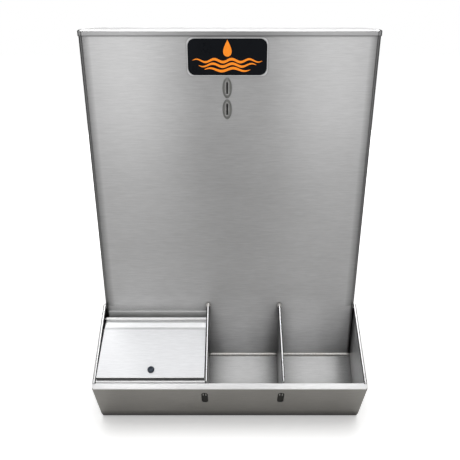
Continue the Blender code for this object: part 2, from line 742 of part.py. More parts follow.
def build_slot_welds(root, pan, steel):
    """Cut the two slots in the front wall and fill them with recessed welds."""
    foot, way, outward = wall_frame()
    top_share = (SLOT_TOP_HEIGHT - foot.y) / way.y
    middle = foot + way * (top_share - SLOT_LENGTH / 2.0)
    places = (("left", DIVIDER_LEFT_X + SLOT_OFFSET), ("right", DIVIDER_RIGHT_X + SLOT_OFFSET))
    for word, centre_x in places:
        def layer(width, length, depth, centre_x=centre_x):
            ring = []
            for across, along in obround(width, length):
                point = middle + way * along + outward * depth
                ring.append((centre_x + across, point.x, point.y))
            return ring
        cutter = finish_mesh(f"wall_slot_cutter_{word}", loft([
            layer(SLOT_WIDTH, SLOT_LENGTH, -2.0 * TROUGH_SHEET),
            layer(SLOT_WIDTH, SLOT_LENGTH, TROUGH_SHEET),
        ]), None)
        place(cutter, (0.0, 0.0, 0.0), root)
        add_boolean(pan, cutter, "DIFFERENCE")
        width = SLOT_WIDTH - 2.0 * GAP
        length = SLOT_LENGTH - 2.0 * GAP
        weld = finish_mesh(f"slot_weld_{word}", loft([
            layer(width, length, -TROUGH_SHEET),
            layer(width, length, -SLOT_RECESS - SLOT_DOME),
            layer(width - 2.0 * SLOT_SHOULDER, length - 2.0 * SLOT_SHOULDER, -SLOT_RECESS),
        ]), steel)
        place(weld, (0.0, 0.0, 0.0), root)


def plate_corner():
    """Return the sharp corner of a plate's outline at the tank's front."""
    return (-2.0 * GAP, PLATE_CORNER_HEIGHT)


def plate_top_path(front_end):
    """Return the path along a plate's top edge, from its rear tip to the lip."""
    corner = plate_corner()
    start = (corner[0], corner[1] - PLATE_TIP_DROP)
    return rounded_path([start, corner, front_end], [PLATE_TIP_RADIUS])


def hem_section(width):
    """Return the round-topped section of a folded edge as (across, up) pairs."""
    half = width / 2.0
    section = []
    for sign, start in ((1.0, 0.0), (-1.0, 0.5)):
        for step in range(BEND_STEPS + 1):
            turn = math.pi * (start + 0.5 * step / BEND_STEPS)
            across = sign * (half - HEM_ROUNDING) + HEM_ROUNDING * math.cos(turn)
            section.append((across, HEM_ROUNDING * (math.sin(turn) - 1.0)))
    section.append((-half, -HEM_DEPTH))
    section.append((half, -HEM_DEPTH))
    return section


def add_hem(plate, name, path, centre_x, width, root):
    """Join a folded edge along a path to a plate."""
    rings = []
    for point, normal in path:
        ring = []
        for across, up in hem_section(width):
            spot = point - normal * up
            ring.append((centre_x + across, spot.x, spot.y))
        rings.append(ring)
    hem = finish_mesh(name, loft(rings), None)
    place(hem, (0.0, 0.0, 0.0), root)
    add_boolean(plate, hem, "UNION")


def pan_inside():
    """Return the points a gap inside the pan, from its rear edge to the foot of the lip's return."""
    corners = [PAN_REAR, FOOT_REAR, FOOT_FRONT, LIP_OUTER]
    path = rounded_path(corners, [PAN_BEND_RADIUS, PAN_BEND_RADIUS])
    inside = [point - normal * (TROUGH_SHEET + GAP) for point, normal in path]
    wall = (tuple(inside[-2]), tuple(inside[-1]))
    points = [tuple(point) for point in inside[:-1]]
    points[0] = (-GAP, line_height(points[0], points[1], -GAP))
    bend_start = LIP_OUTER_HEIGHT - LIP_BEND_RADIUS
    points.append(crossing(wall, ((-1.0, bend_start), (1.0, bend_start))))
    return points


def build_end_plates(root, steel):
    """Build the two end plates, which lap the tank's sides."""
    inner = TROUGH_SHEET + GAP
    wall = offset_line(FOOT_FRONT, LIP_OUTER, inner)
    band = offset_line(LIP_OUTER, LIP_INNER, inner)
    ground = crossing(wall, ((-1.0, 0.0), (1.0, 0.0)))
    under_lip = crossing(wall, band)
    lip_cut = -LIP_INNER_REACH - LIP_BEND_RADIUS + GAP
    band_end = (lip_cut, line_height(band[0], band[1], lip_cut))
    top_end = (lip_cut, line_height(plate_corner(), LIP_INNER, lip_cut))
    path = plate_top_path(top_end)
    tip_height = PLATE_CORNER_HEIGHT - PLATE_TIP_DROP
    buried = HEM_DEPTH / 2.0
    for sign, word in ((-1.0, "left"), (1.0, "right")):
        outline = [
            (END_LAP, 0.0),
            (END_LAP, tip_height),
            (-GAP - buried, tip_height),
            (top_end[0], top_end[1] - buried),
            band_end,
            under_lip,
            ground,
        ]
        sides = sorted((sign * END_INNER_X, sign * END_OUTER_X))
        plate = finish_mesh(f"end_plate_{word}", prism_x(outline, *sides), steel)
        place(plate, (0.0, 0.0, 0.0), root)
        hem_x = sign * (END_OUTER_X + HEM_PROUD - END_HEM_WIDTH / 2.0)
        add_hem(plate, f"end_hem_{word}", path, hem_x, END_HEM_WIDTH, root)


def build_dividers(root, steel):
    """Build the two dividers, whose lower edge follows the inside of the pan."""
    front = LIP_RETURN[0] + GAP
    top_end = (front, line_height(plate_corner(), LIP_INNER, front))
    path = plate_top_path(top_end)
    tip_height = PLATE_CORNER_HEIGHT - PLATE_TIP_DROP
    buried = HEM_DEPTH / 2.0
    outline = pan_inside() + [
        (front, RETURN_FOOT),
        (front, top_end[1] - buried),
        (-GAP - buried, tip_height + buried),
        (-GAP - buried, tip_height - GAP),
        (-GAP, tip_height - GAP),
    ]
    half = TROUGH_SHEET / 2.0
    for word, centre_x in (("left", DIVIDER_LEFT_X), ("right", DIVIDER_RIGHT_X)):
        plate = finish_mesh(f"divider_{word}", prism_x(outline, centre_x - half, centre_x + half), steel)
        place(plate, (0.0, 0.0, 0.0), root)
        add_hem(plate, f"divider_hem_{word}", path, centre_x, DIVIDER_HEM_WIDTH, root)


def cover_line():
    """Return the cover's rear bend and front edge, both on its top face."""
    return (
        plate_point(COVER_BEND_REACH, COVER_BEND_HEIGHT),
        plate_point(COVER_FRONT_REACH, COVER_FRONT_HEIGHT),
    )


def cover_path():
    """Return the path of the cover's outer face, from its front flange to the end of the curl."""
    bend, front = cover_line()
    flange_end = (front[0], front[1] - COVER_FLANGE)
    centre = Vector(plate_point(BARREL_REACH, BARREL_HEIGHT))
    top_radius = BARREL_RADIUS - COVER_SHEET
    to_bend = Vector(bend) - centre
    tilt = math.acos(top_radius / to_bend.length)
    contact_turn = math.atan2(to_bend.y, to_bend.x) + tilt
    contact = centre + Vector((math.cos(contact_turn), math.sin(contact_turn))) * top_radius
    path = rounded_path([flange_end, front, bend, tuple(contact)], [COVER_BEND_RADIUS] * 2)
    steps = ARC_STEPS * 2
    for step in range(1, steps + 1):
        turn = contact_turn + BARREL_CURL * step / steps
        way = Vector((math.cos(turn), math.sin(turn)))
        path.append((centre + way * top_radius, -way))
    return path


def cover_frame():
    """Return the way down the cover's panel, its outward normal and the screw's point on top."""
    bend, front = cover_line()
    way = (Vector(front) - Vector(bend)).normalized()
    normal = Vector((way.y, -way.x))
    if normal.y < 0.0:
        normal = -normal
    return way, normal, Vector(front) - way * SCREW_BACKSET


def build_cover(root, cover_axis, steel, dark_steel):
    """Build the curled cover, its pin, and the strip that backs its hinge."""
    start = FLOAT_SPACE_LEFT + COVER_SIDE_GAP
    end = FLOAT_SPACE_RIGHT - COVER_SIDE_GAP
    bend, front = cover_line()
    outline = sheet_outline(cover_path(), COVER_SHEET)
    cover = finish_mesh("cover", prism_x(outline, start + HEM_PROUD, end - HEM_PROUD), steel)
    place(cover, (0.0, 0.0, 0.0), cover_axis)
    under = offset_line(front, bend, HEM_PROUD)
    skirt = [
        (under[0][0] + HEM_PROUD, under[0][1]),
        under[1],
        (under[1][0], under[1][1] - COVER_FLANGE),
        (under[0][0] + HEM_PROUD, under[0][1] - COVER_FLANGE),
    ]
    for word, side_start in (("left", start), ("right", end - COVER_SHEET)):
        side_end = side_start + COVER_SHEET
        side = finish_mesh(f"cover_skirt_{word}", prism_x(skirt, side_start, side_end), None)
        place(side, (0.0, 0.0, 0.0), cover_axis)
        add_boolean(cover, side, "UNION")
    _, normal, spot = cover_frame()
    lean = math.atan2(-normal.x, normal.y)
    drill(cover, "cover_screw_hole", (FLOAT_SPACE_X, spot.x, spot.y),
          SCREW_RADIUS + SCREW_HOLE_CLEARANCE, CUT_MARGIN, cover_axis, (lean, 0.0, 0.0))

    pin_radius = BARREL_RADIUS - COVER_SHEET - PIN_CLEARANCE
    pin_start = -END_OUTER_X
    pin_end = DIVIDER_LEFT_X + TROUGH_SHEET / 2.0 + COVER_PIN_END
    pin = finish_mesh("cover_hinge_pin", turned(
        disc_profile(pin_radius, pin_start, pin_end), ROUND_SEGMENTS // 2), steel)
    centre = plate_point(BARREL_REACH, BARREL_HEIGHT)
    place(pin, (0.0, centre[0], centre[1]), root, ALONG_X)
    for word in ("end_plate_left", "divider_left"):
        drill(bpy.data.objects[word], f"{word}_pin_cutter", (FLOAT_SPACE_X, centre[0], centre[1]),
              pin_radius + PIN_CLEARANCE, TANK_WIDTH, root, ALONG_X)

    low = BACKING_TOP - BACKING_HEIGHT
    backing = finish_mesh("cover_backing_strip", prism_x([
        (-GAP, low),
        (-GAP - BACKING_BOTTOM_THICKNESS, low),
        (-GAP - BACKING_TOP_THICKNESS, BACKING_TOP),
        (-GAP, BACKING_TOP),
    ], -END_INNER_X + TANK_CORNER_RADIUS, FLOAT_SPACE_RIGHT - COVER_SIDE_GAP), dark_steel)
    place(backing, (0.0, 0.0, 0.0), root)


def build_cover_fastening(root, screw_axis, steel, dark_steel):
    """Build the rest strip behind the lip, and the screw and nut that clamp the cover to it."""
    way, normal, spot = cover_frame()
    leg_reach = LIP_RETURN[0] + GAP
    land_height = LIP_INNER_HEIGHT
    seat_drop = COVER_SHEET + REST_LIFT
    bend, front = cover_line()
    seat_line = offset_line(front, bend, seat_drop)
    riser = leg_reach + REST_LAND
    seat_start = (riser, line_height(seat_line[0], seat_line[1], riser))
    seat_end = tuple(Vector(seat_start) - way * REST_SEAT)
    path = [
        (leg_reach, land_height - REST_LEG),
        (leg_reach, land_height),
        (riser, land_height),
        seat_start,
        seat_end,
    ]
    outline = bent_sheet(path, [REST_BEND_RADIUS, REST_STEP_RADIUS, REST_BEND_RADIUS], REST_SHEET)
    strip = finish_mesh("cover_rest_strip", prism_x(
        outline, FLOAT_SPACE_LEFT + GAP, FLOAT_SPACE_RIGHT - GAP), steel)
    place(strip, (0.0, 0.0, 0.0), root)
    skirt_width = COVER_SIDE_GAP + COVER_SHEET + GAP
    skirt_foot = land_height + REST_SHEET
    for word, near, far in (
        ("left", FLOAT_SPACE_LEFT, FLOAT_SPACE_LEFT + skirt_width),
        ("right", FLOAT_SPACE_RIGHT - skirt_width, FLOAT_SPACE_RIGHT),
    ):
        notch = finish_mesh(f"rest_notch_{word}", prism_x([
            (leg_reach, skirt_foot),
            (seat_end[0] + REST_LAND, skirt_foot),
            (seat_end[0] + REST_LAND, seat_end[1] + REST_LAND),
            (leg_reach, seat_end[1] + REST_LAND),
        ], near, far), None)
        place(notch, (0.0, 0.0, 0.0), root)
        add_boolean(strip, notch, "DIFFERENCE")
    lean = math.atan2(-normal.x, normal.y)
    tilt = (lean, 0.0, 0.0)
    drill(strip, "rest_screw_hole", (FLOAT_SPACE_X, spot.x, spot.y),
          SCREW_RADIUS + SCREW_HOLE_CLEARANCE, 2.0 * CUT_MARGIN, root, tilt)

    nut_top = spot - normal * (seat_drop + REST_SHEET + GAP + NUT_THICKNESS)
    nut = finish_mesh("cover_nut", hex_nut(
        NUT_FLATS, SCREW_RADIUS + SCREW_HOLE_CLEARANCE, NUT_THICKNESS), steel)
    place(nut, (FLOAT_SPACE_X, nut_top.x, nut_top.y), root, tilt)

    shank = seat_drop + REST_SHEET + NUT_THICKNESS + SCREW_TAIL
    rise = SCREW_HEAD_HEIGHT
    profile = [
        (0.0, -shank),
        (SCREW_RADIUS - SCREW_CHAMFER, -shank),
        (SCREW_RADIUS, -shank + SCREW_CHAMFER),
        (SCREW_RADIUS, GAP),
        (SCREW_HEAD_RADIUS, GAP),
    ]
    for step in range(BEND_STEPS + 1):
        turn = math.pi / 2.0 * step / BEND_STEPS
        radius = SCREW_HEAD_FLAT + (SCREW_HEAD_RADIUS - SCREW_HEAD_FLAT) * math.cos(turn)
        profile.append((radius, SCREW_HEAD_EDGE + (rise - SCREW_HEAD_EDGE) * math.sin(turn)))
    profile.append((0.0, rise))
    screw = finish_mesh("cover_screw", turned(profile), dark_steel)
    place(screw, (FLOAT_SPACE_X, spot.x, spot.y), screw_axis, tilt)
    socket_radius = SCREW_SOCKET_FLATS / math.sqrt(3.0)
    socket = finish_mesh("cover_screw_socket", turned(disc_profile(
        socket_radius, rise - SCREW_SOCKET_DEPTH, rise * 2.0), HEX_SIDES), None)
    place(socket, (FLOAT_SPACE_X, spot.x, spot.y), screw_axis, tilt)
    add_boolean(screw, socket, "DIFFERENCE")


def valve_point(reach, rise=0.0):
    """Return a point in the valve's upright plane, from its distance in front of the tank."""
    return (FLOAT_SPACE_X, -reach, VALVE_HEIGHT + rise)


def build_valve(root, plunger_axis, brass, rubber):
    """Build the valve body, its gaskets and lock nut, the plunger and its washer."""
    barrel_end = VALVE_BARREL_END
    shank_end = -TANK_SHEET - VALVE_SHANK_LENGTH
    bore_radius = PLUNGER_RADIUS + PIN_CLEARANCE
    inlet_end = VALVE_SEAT_REACH - 2.0 * VALVE_ORIFICE_RADIUS
    body = finish_mesh("valve_body", turned([
        (bore_radius, barrel_end),
        (VALVE_BARREL_RADIUS, barrel_end),
        (VALVE_BARREL_RADIUS, VALVE_COLLAR_END),
        (VALVE_COLLAR_RADIUS, VALVE_COLLAR_END),
        (VALVE_COLLAR_RADIUS, VALVE_COLLAR_START),
        (VALVE_SHANK_RADIUS, VALVE_COLLAR_START),
        (VALVE_SHANK_RADIUS, shank_end),
        (VALVE_INLET_RADIUS, shank_end),
        (VALVE_INLET_RADIUS, inlet_end),
        (VALVE_ORIFICE_RADIUS, inlet_end),
        (VALVE_ORIFICE_RADIUS, VALVE_SEAT_REACH),
        (bore_radius, VALVE_SEAT_REACH),
    ], ring_shaped=True), brass)
    half_facet = math.pi / ROUND_SEGMENTS
    place(body, valve_point(0.0), root, (ALONG_Y[0], half_facet, 0.0))
    outlet_reach = VALVE_SEAT_REACH + VALVE_OUTLET_RADIUS + GAP
    outlet_length = 2.0 * VALVE_BARREL_RADIUS
    drill(body, "valve_outlet", valve_point(outlet_reach, -bore_radius / 2.0 - outlet_length / 2.0),
          VALVE_OUTLET_RADIUS, outlet_length, root)
    slot_start = barrel_end - FORK_LENGTH
    slot_half = FORK_SLOT / 2.0
    slot = finish_mesh("valve_fork_cutter", prism_x([
        (-slot_start, -2.0 * VALVE_BARREL_RADIUS),
        (-slot_start - 2.0 * FORK_LENGTH, -2.0 * VALVE_BARREL_RADIUS),
        (-slot_start - 2.0 * FORK_LENGTH, 2.0 * VALVE_BARREL_RADIUS),
        (-slot_start, 2.0 * VALVE_BARREL_RADIUS),
    ], -slot_half, slot_half), None)
    place(slot, valve_point(0.0), root)
    add_boolean(body, slot, "DIFFERENCE")

    inner = VALVE_SHANK_RADIUS + PIN_CLEARANCE
    gasket = tube_profile(inner, VALVE_COLLAR_RADIUS, 0.0, GASKET_THICKNESS)
    for word, near in (("outer", GAP), ("inner", -TANK_SHEET - GAP - GASKET_THICKNESS)):
        ring = finish_mesh(f"valve_gasket_{word}", turned(gasket, ring_shaped=True), rubber)
        place(ring, valve_point(near), root, ALONG_Y)
    nut = finish_mesh("valve_lock_nut", hex_nut(LOCKNUT_FLATS, inner, LOCKNUT_THICKNESS), brass)
    nut_reach = -TANK_SHEET - 2.0 * GAP - GASKET_THICKNESS - LOCKNUT_THICKNESS
    place(nut, valve_point(nut_reach), root, ALONG_Y)

    lever = lever_places()
    plunger_start = lever["washer_start"] + PLUNGER_WASHER_THICKNESS + GAP
    plunger_length = lever["plunger_end"] - plunger_start
    washer = finish_mesh("plunger_washer", turned(disc_profile(
        PLUNGER_RADIUS - PIN_CLEARANCE, 0.0, PLUNGER_WASHER_THICKNESS)), rubber)
    place(washer, valve_point(lever["washer_start"]), plunger_axis, ALONG_Y)
    tip_start = plunger_length - PLUNGER_TIP_LENGTH
    plunger = finish_mesh("valve_plunger", turned([
        (0.0, 0.0),
        (PLUNGER_RADIUS, 0.0),
        (PLUNGER_RADIUS, tip_start),
        (PLUNGER_TIP_RADIUS, tip_start),
        (PLUNGER_TIP_RADIUS, plunger_length),
        (0.0, plunger_length),
    ]), brass)
    place(plunger, valve_point(plunger_start), plunger_axis, ALONG_Y)


def lever_places():
    """Return where the lever's pin and nose and the plunger stand when the float hangs down.

    The washer then stands off its seat by the whole travel that the lever gives the plunger.
    """
    pin_reach = VALVE_BARREL_END - LEVER_PIN_SETBACK
    half = LEVER_STROKE / 2.0
    nose_reach = pin_reach + LEVER_DROP * math.sin(half)
    nose_rise = -LEVER_DROP + LEVER_DROP * math.cos(half)
    return {
        "pin": (pin_reach, -LEVER_DROP),
        "nose": (nose_reach, nose_rise),
        "plunger_end": nose_reach - LEVER_NOSE_RADIUS - 2.0 * GAP,
        "washer_start": VALVE_SEAT_REACH + 2.0 * LEVER_DROP * math.sin(half) + GAP,
        "way": Vector((math.cos(LEVER_DOWN_ANGLE), -math.sin(LEVER_DOWN_ANGLE))),
    }


def capsule(start, end, start_radius, end_radius):
    """Return the outline round two circles and the straight sides between them."""
    way = Vector(end) - Vector(start)
    base = math.atan2(way.y, way.x)
    spread = math.acos((start_radius - end_radius) / way.length)
    outline = []
    for centre, radius, first, last in (
        (end, end_radius, -spread, spread),
        (start, start_radius, spread, 2.0 * math.pi - spread),
    ):
        for step in range(ARC_STEPS + 1):
            turn = base + first + (last - first) * step / ARC_STEPS
            outline.append((centre[0] + radius * math.cos(turn), centre[1] + radius * math.sin(turn)))
    return outline


def build_float_arm(root, lever_axis, brass, float_paint):
    """Build the lever with its pin, the rod, the float and the float's nut."""
    lever = lever_places()
    pin_point = valve_point(*lever["pin"])
    way = lever["way"]
    start = (-lever["pin"][0], VALVE_HEIGHT + lever["pin"][1])
    nose = (-lever["nose"][0], VALVE_HEIGHT + lever["nose"][1])
    rod_way = Vector((-way.x, way.y))
    socket_end = tuple(Vector(start) + rod_way * LEVER_SOCKET_END)
    half = LEVER_THICKNESS / 2.0
    arm = finish_mesh("float_lever", prism_x(
        capsule(start, socket_end, LEVER_HUB_RADIUS, LEVER_SOCKET_RADIUS),
        FLOAT_SPACE_X - half, FLOAT_SPACE_X + half), brass)
    place(arm, (0.0, 0.0, 0.0), lever_axis)
    nose_half = LEVER_NOSE_THICKNESS / 2.0
    horn = finish_mesh("float_lever_nose", prism_x(
        capsule(start, nose, LEVER_NOSE_RADIUS, LEVER_NOSE_RADIUS),
        FLOAT_SPACE_X - nose_half, FLOAT_SPACE_X + nose_half), None)
    place(horn, (0.0, 0.0, 0.0), lever_axis)
    add_boolean(arm, horn, "UNION")
    pin_bore = LEVER_PIN_RADIUS + PIN_CLEARANCE
    drill(arm, "float_lever_pin_bore", pin_point, pin_bore, TANK_DEPTH, lever_axis, ALONG_X)
    drill(bpy.data.objects["valve_body"], "valve_pin_bore", pin_point, pin_bore, TANK_DEPTH, root, ALONG_X)
    pin_half = math.sqrt(VALVE_BARREL_RADIUS ** 2 - LEVER_DROP ** 2) + LEVER_PIN_END
    pin = finish_mesh("lever_pin", turned(
        disc_profile(LEVER_PIN_RADIUS, -pin_half, pin_half), ROUND_SEGMENTS // 2), brass)
    place(pin, pin_point, root, ALONG_X)

    tilt = (math.radians(90.0) + LEVER_DOWN_ANGLE, 0.0, 0.0)

    def along(distance):
        spot = Vector(start) + rod_way * distance
        return (FLOAT_SPACE_X, spot.x, spot.y)

    socket_depth = LEVER_SOCKET_END + LEVER_SOCKET_RADIUS
    rod_start = socket_depth - ROD_ENGAGEMENT
    drill(arm, "float_lever_rod_bore", along(socket_depth), ROD_RADIUS + PIN_CLEARANCE,
          2.0 * (ROD_ENGAGEMENT + GAP), lever_axis, tilt)
    bore_start = FLOAT_DISTANCE - FLOAT_RADIUS - FLOAT_BOSS_LENGTH
    rod_end = bore_start + FLOAT_BORE_DEPTH - GAP
    rod = finish_mesh("float_rod", turned(disc_profile(
        ROD_RADIUS, 0.0, rod_end - rod_start), ROUND_SEGMENTS // 2), brass)
    place(rod, along(rod_start), lever_axis, tilt)
    nut = finish_mesh("float_nut", hex_nut(
        FLOAT_NUT_FLATS, ROD_RADIUS + PIN_CLEARANCE, FLOAT_NUT_THICKNESS), brass)
    place(nut, along(bore_start - FLOAT_NUT_THICKNESS - GAP), lever_axis, tilt)

    half_length = FLOAT_LENGTH / 2.0
    profile = [(0.0, -half_length)]
    for sign in (-1.0, 1.0):
        arc = []
        for step in range(BEND_STEPS + 1):
            turn = math.pi / 2.0 * step / BEND_STEPS
            radius = FLOAT_RADIUS - FLOAT_EDGE_RADIUS * (1.0 - math.sin(turn))
            arc.append((radius, sign * (half_length - FLOAT_EDGE_RADIUS * (1.0 - math.cos(turn)))))
        profile += arc if sign < 0.0 else arc[::-1]
    profile.append((0.0, half_length))
    body = finish_mesh("float", turned(profile), float_paint)
    place(body, along(FLOAT_DISTANCE), lever_axis, ALONG_X)
    boss = finish_mesh("float_boss", turned(disc_profile(
        FLOAT_BOSS_RADIUS, 0.0, FLOAT_BOSS_LENGTH + FLOAT_RADIUS / 2.0)), None)
    place(boss, along(bore_start), lever_axis, tilt)
    add_boolean(body, boss, "UNION")
    drill(body, "float_bore", along(bore_start), ROD_RADIUS + PIN_CLEARANCE,
          2.0 * FLOAT_BORE_DEPTH, lever_axis, tilt)


def build_hangers(root, steel):
    """Build the two hooks on the back that hang the tank on a gate rail."""
    near = TANK_DEPTH + GAP
    far = near + 2.0 * HANGER_SHEET + HANGER_THROAT
    path = [
        (far, HANGER_TOP_HEIGHT - HANGER_TONGUE),
        (far, HANGER_TOP_HEIGHT),
        (near, HANGER_TOP_HEIGHT),
        (near, HANGER_TOP_HEIGHT - HANGER_LENGTH),
    ]
    outline = bent_sheet(path, [HANGER_BEND_RADIUS] * 2, -HANGER_SHEET)
    half = HANGER_WIDTH / 2.0
    for sign, word in ((-1.0, "left"), (1.0, "right")):
        middle = sign * HANGER_SPACING / 2.0
        hook = finish_mesh(f"gate_hook_{word}", prism_x(outline, middle - half, middle + half), steel)
        place(hook, (0.0, 0.0, 0.0), root)


def main():
    """Build the whole medicator."""
    clear_scene()
    root = make_empty("medicator_frame", (0.0, 0.0, 0.0))
    root.location = (0.0, tank_front_y(), 0.0)
    steel = make_material("brushed_stainless", *BRUSHED_STAINLESS)
    dark_steel = make_material("dark_steel", *DARK_STEEL)
    brass = make_material("brass", *BRASS)
    rubber = make_material("black_rubber", *BLACK_RUBBER)
    float_paint = make_material("float_plastic", *FLOAT_PLASTIC)
    badge_paint = make_material("badge_black", *BADGE_BLACK)

    lid_axis = make_empty("lid_axis", (0.0, LID_AXIS_REACH, LID_AXIS_HEIGHT), root)
    barrel = plate_point(BARREL_REACH, BARREL_HEIGHT)
    cover_axis = make_empty("cover_axis", (FLOAT_SPACE_X, barrel[0], barrel[1]), root)
    screw_spot = cover_frame()[2]
    screw_axis = make_empty(
        "cover_screw_axis", (FLOAT_SPACE_X, screw_spot.x, screw_spot.y), cover_axis)
    lever_axis = make_empty("float_lever_axis", valve_point(*lever_places()["pin"]), root)
    plunger_axis = make_empty("plunger_axis", valve_point(0.0), root)

    build_tank(root, steel)
    build_lid(root, lid_axis, steel)
    build_front_fittings(root, steel, badge_paint)
    build_pan(root, steel)
    build_end_plates(root, steel)
    build_dividers(root, steel)
    build_cover(root, cover_axis, steel, dark_steel)
    build_cover_fastening(root, screw_axis, steel, dark_steel)
    build_valve(root, plunger_axis, brass, rubber)
    build_float_arm(root, lever_axis, brass, float_paint)
    build_hangers(root, steel)


main()
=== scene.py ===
"""Finishes, welds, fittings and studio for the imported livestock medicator.

Every length is in metres in the frame's own space: +Z up, and the drinking side faces -Y.
"""

import math
from collections import namedtuple

import bmesh
import bpy
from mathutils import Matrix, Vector, noise


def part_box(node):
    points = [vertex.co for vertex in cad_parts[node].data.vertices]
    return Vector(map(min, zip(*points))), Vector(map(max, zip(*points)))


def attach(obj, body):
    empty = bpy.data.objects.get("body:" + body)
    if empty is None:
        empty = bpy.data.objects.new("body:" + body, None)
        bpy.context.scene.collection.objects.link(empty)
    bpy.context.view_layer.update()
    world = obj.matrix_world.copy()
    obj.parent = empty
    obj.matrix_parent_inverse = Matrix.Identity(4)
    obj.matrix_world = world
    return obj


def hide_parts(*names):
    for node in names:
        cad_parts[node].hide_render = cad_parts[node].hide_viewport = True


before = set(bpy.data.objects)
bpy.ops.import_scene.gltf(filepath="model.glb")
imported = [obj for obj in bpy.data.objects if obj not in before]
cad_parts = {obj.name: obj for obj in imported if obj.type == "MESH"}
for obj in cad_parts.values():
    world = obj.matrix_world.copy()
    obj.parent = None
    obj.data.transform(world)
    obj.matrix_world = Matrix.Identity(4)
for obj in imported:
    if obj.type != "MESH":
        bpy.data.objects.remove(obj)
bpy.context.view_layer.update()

bl_info = {
    "name": "Livestock Medicator Finish",
    "version": (1, 0, 0),
    "blender": (4, 5, 0),
    "location": "View3D > Sidebar > Medicator",
    "description": "Brushed steel, welds, badge, fittings and a studio for a livestock medicator",
    "category": "Object",
}

# Places taken from the frame
TANK_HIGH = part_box("tank_wrap")[1]
BACK_LOW, BACK_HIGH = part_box("tank_back")
LID_LOW, LID_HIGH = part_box("lid")
PLATE_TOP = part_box("divider_left")[1].z
TANK_DEPTH = 0.178
FRONT_Y = BACK_HIGH.y - TANK_DEPTH
REAR = Vector((0.0, 1.0, 0.0))
SIDES = ("left", "right")

# Places on the sheet parts that the looks are set out from
CORNER_SHADE = 0.024
HALF_SHEET = 0.0011
HEM_NORMAL_X = 0.52
MOST_TURN = 0.3
COVER_BEND_Z = 0.2033
COVER_FRONT = 0.0035
BARREL_FRONT_Y = -0.0603
BARREL_HEIGHT = 0.0095
WALL_REACH = 0.060
WALL_NORMAL_Z = -0.38
BAND_NORMAL_Z = 0.60
LIP_REACH = 0.012
LIP_INSET = 0.0016
LIP_ROLL_Z = 0.1250
LIP_TAPER = 0.001
LID_CORNER = 0.0106
CROWN_LAP = 0.0002
CROWN_SKIRT = 0.0011
VENT_RIM = 0.0006
VENT_SLOT_HALF_WIDTH = 0.0024
VENT_SLOT_HALF_HEIGHT = 0.014
LEAF_FACE = 0.0036
HOOK_SHEET = 0.004

# Shape of the weld beads and rivets
WOBBLE_RATE = 0.37
WOBBLE_SHARE = 0.6
LUMP_RIPPLES = 2.6
LUMP_SHARE = 0.9
RIPPLE_MEAN = 0.6
CORNER_CROWN = 0.20
CORNER_LAG = 0.35
CORNER_END = 0.55
EDGE_RIPPLE = 0.45
FLAT_LAG = 0.3
FLAT_END = 0.35
ROOT_SINK = 0.0001
ROOT_RISE = 0.0037
TIP_INSET = 0.0046
DAB_RADII = (0.0054, 0.0058, 0.0064)
DAB_LUMP = 0.16
DAB_RATE = 2.2
HOOK_LEG = 0.0032
HOOK_BEAD_FOOT = 0.020
HOOK_BEAD_HEAD = 0.040
TACK_HALF_LENGTH = 0.012
TACK_RISE = 0.0009
RIB_OFFSET = 0.0030
RIB_START = 0.0050
RIB_END = 0.0170
RIB_HALF_WIDTH = 0.0015
RIB_RISE = 0.0010
LEAF_RIVET = (0.0034, 0.0018)
LEAF_RIVET_RISE = 0.0075
HOOK_RIVET = (0.0050, 0.0026)
HOOK_RIVET_RISES = (0.022, 0.060)
RIVET_RINGS = (1.0, 0.98, 0.90, 0.72, 0.42, 0.12)
RIVET_WALL = 0.25

# Shape of the badge, with its sign's sizes as shares of its own width and height, and of the floor
PLATE_CORNER = 0.010
BORDER_PROUD = 0.0002
INK_PROUD = 0.00012
INK_PORES = 1500.0
WAVES = 3
WAVE_CRESTS = 4
WAVE_LENGTH = 0.88
WAVE_SHORTENING = 0.15
WAVE_DROP = 0.095
WAVE_SPACING = 0.120
WAVE_RISE = 0.040
WAVE_THICK = 0.036
DROP_RADIUS = 0.165
DROP_RISE = 0.235
DROP_STRETCH = 1.35
DROP_POINT = 1.4
FLOOR_SIZE = 12.0
FLOOR_Z = -0.0005

# Fineness of the meshes
SHARP_ANGLE = math.radians(40.0)
MERGE_DISTANCE = 1e-7
SEAM_TACKS = 8
CROWN_STEPS = 8
CORNER_STEPS = 8
BEAD_TURNS = 8
ROLL_STEPS = 20
WAVE_STEPS = 48
RIPPLE_STEPS = 4.0

# Layers of the materials: how often each repeats in a metre, how deep it is, and its lowest and highest tone
CLOUD_RATE = 9.0
MOTTLE_RATE = 420.0
TINT_RATE = 60.0
TOOL_RATE = 2600.0
STAIN_RATE = 70.0
SHADE_RATE = 35.0
TOOL_DEPTH = 0.00002
MOTTLE_DEPTH = 0.0002
PORE_DEPTH = 0.00005
FINE_TONE = (0.93, 1.07)
BROAD_TONE = (0.945, 1.055)
CLOUD_TONE = (0.965, 1.035)
MOTTLE_TONE = (0.72, 1.18)
TOOL_TONE = (0.92, 1.06)
STAIN_TONE = (0.80, 1.08)
SKIN_TONE = (0.94, 1.06)
SHADE_TONE = (0.90, 1.08)
BROAD_BLUR = (-0.03, 0.03)
CLOUD_BLUR = (-0.025, 0.025)
TINT_SHARE = (0.0, 0.20)
STRAW = (0.95, 0.82, 0.62)
# Span of ambient occlusion that becomes painted shade in creases
CREASE_SPAN = (0.35, 0.95)
FADE_STEP = 0.010
TANGENT_LEAN = 0.05

# Painted shade (factor below 1) or painted light (factor above 1) across a sheet by place: 1 at the start
# distance from a plane, its factor at the end distance
Fade = namedtuple("Fade", "axis centre start end factor above", defaults=(None,))


# Settings


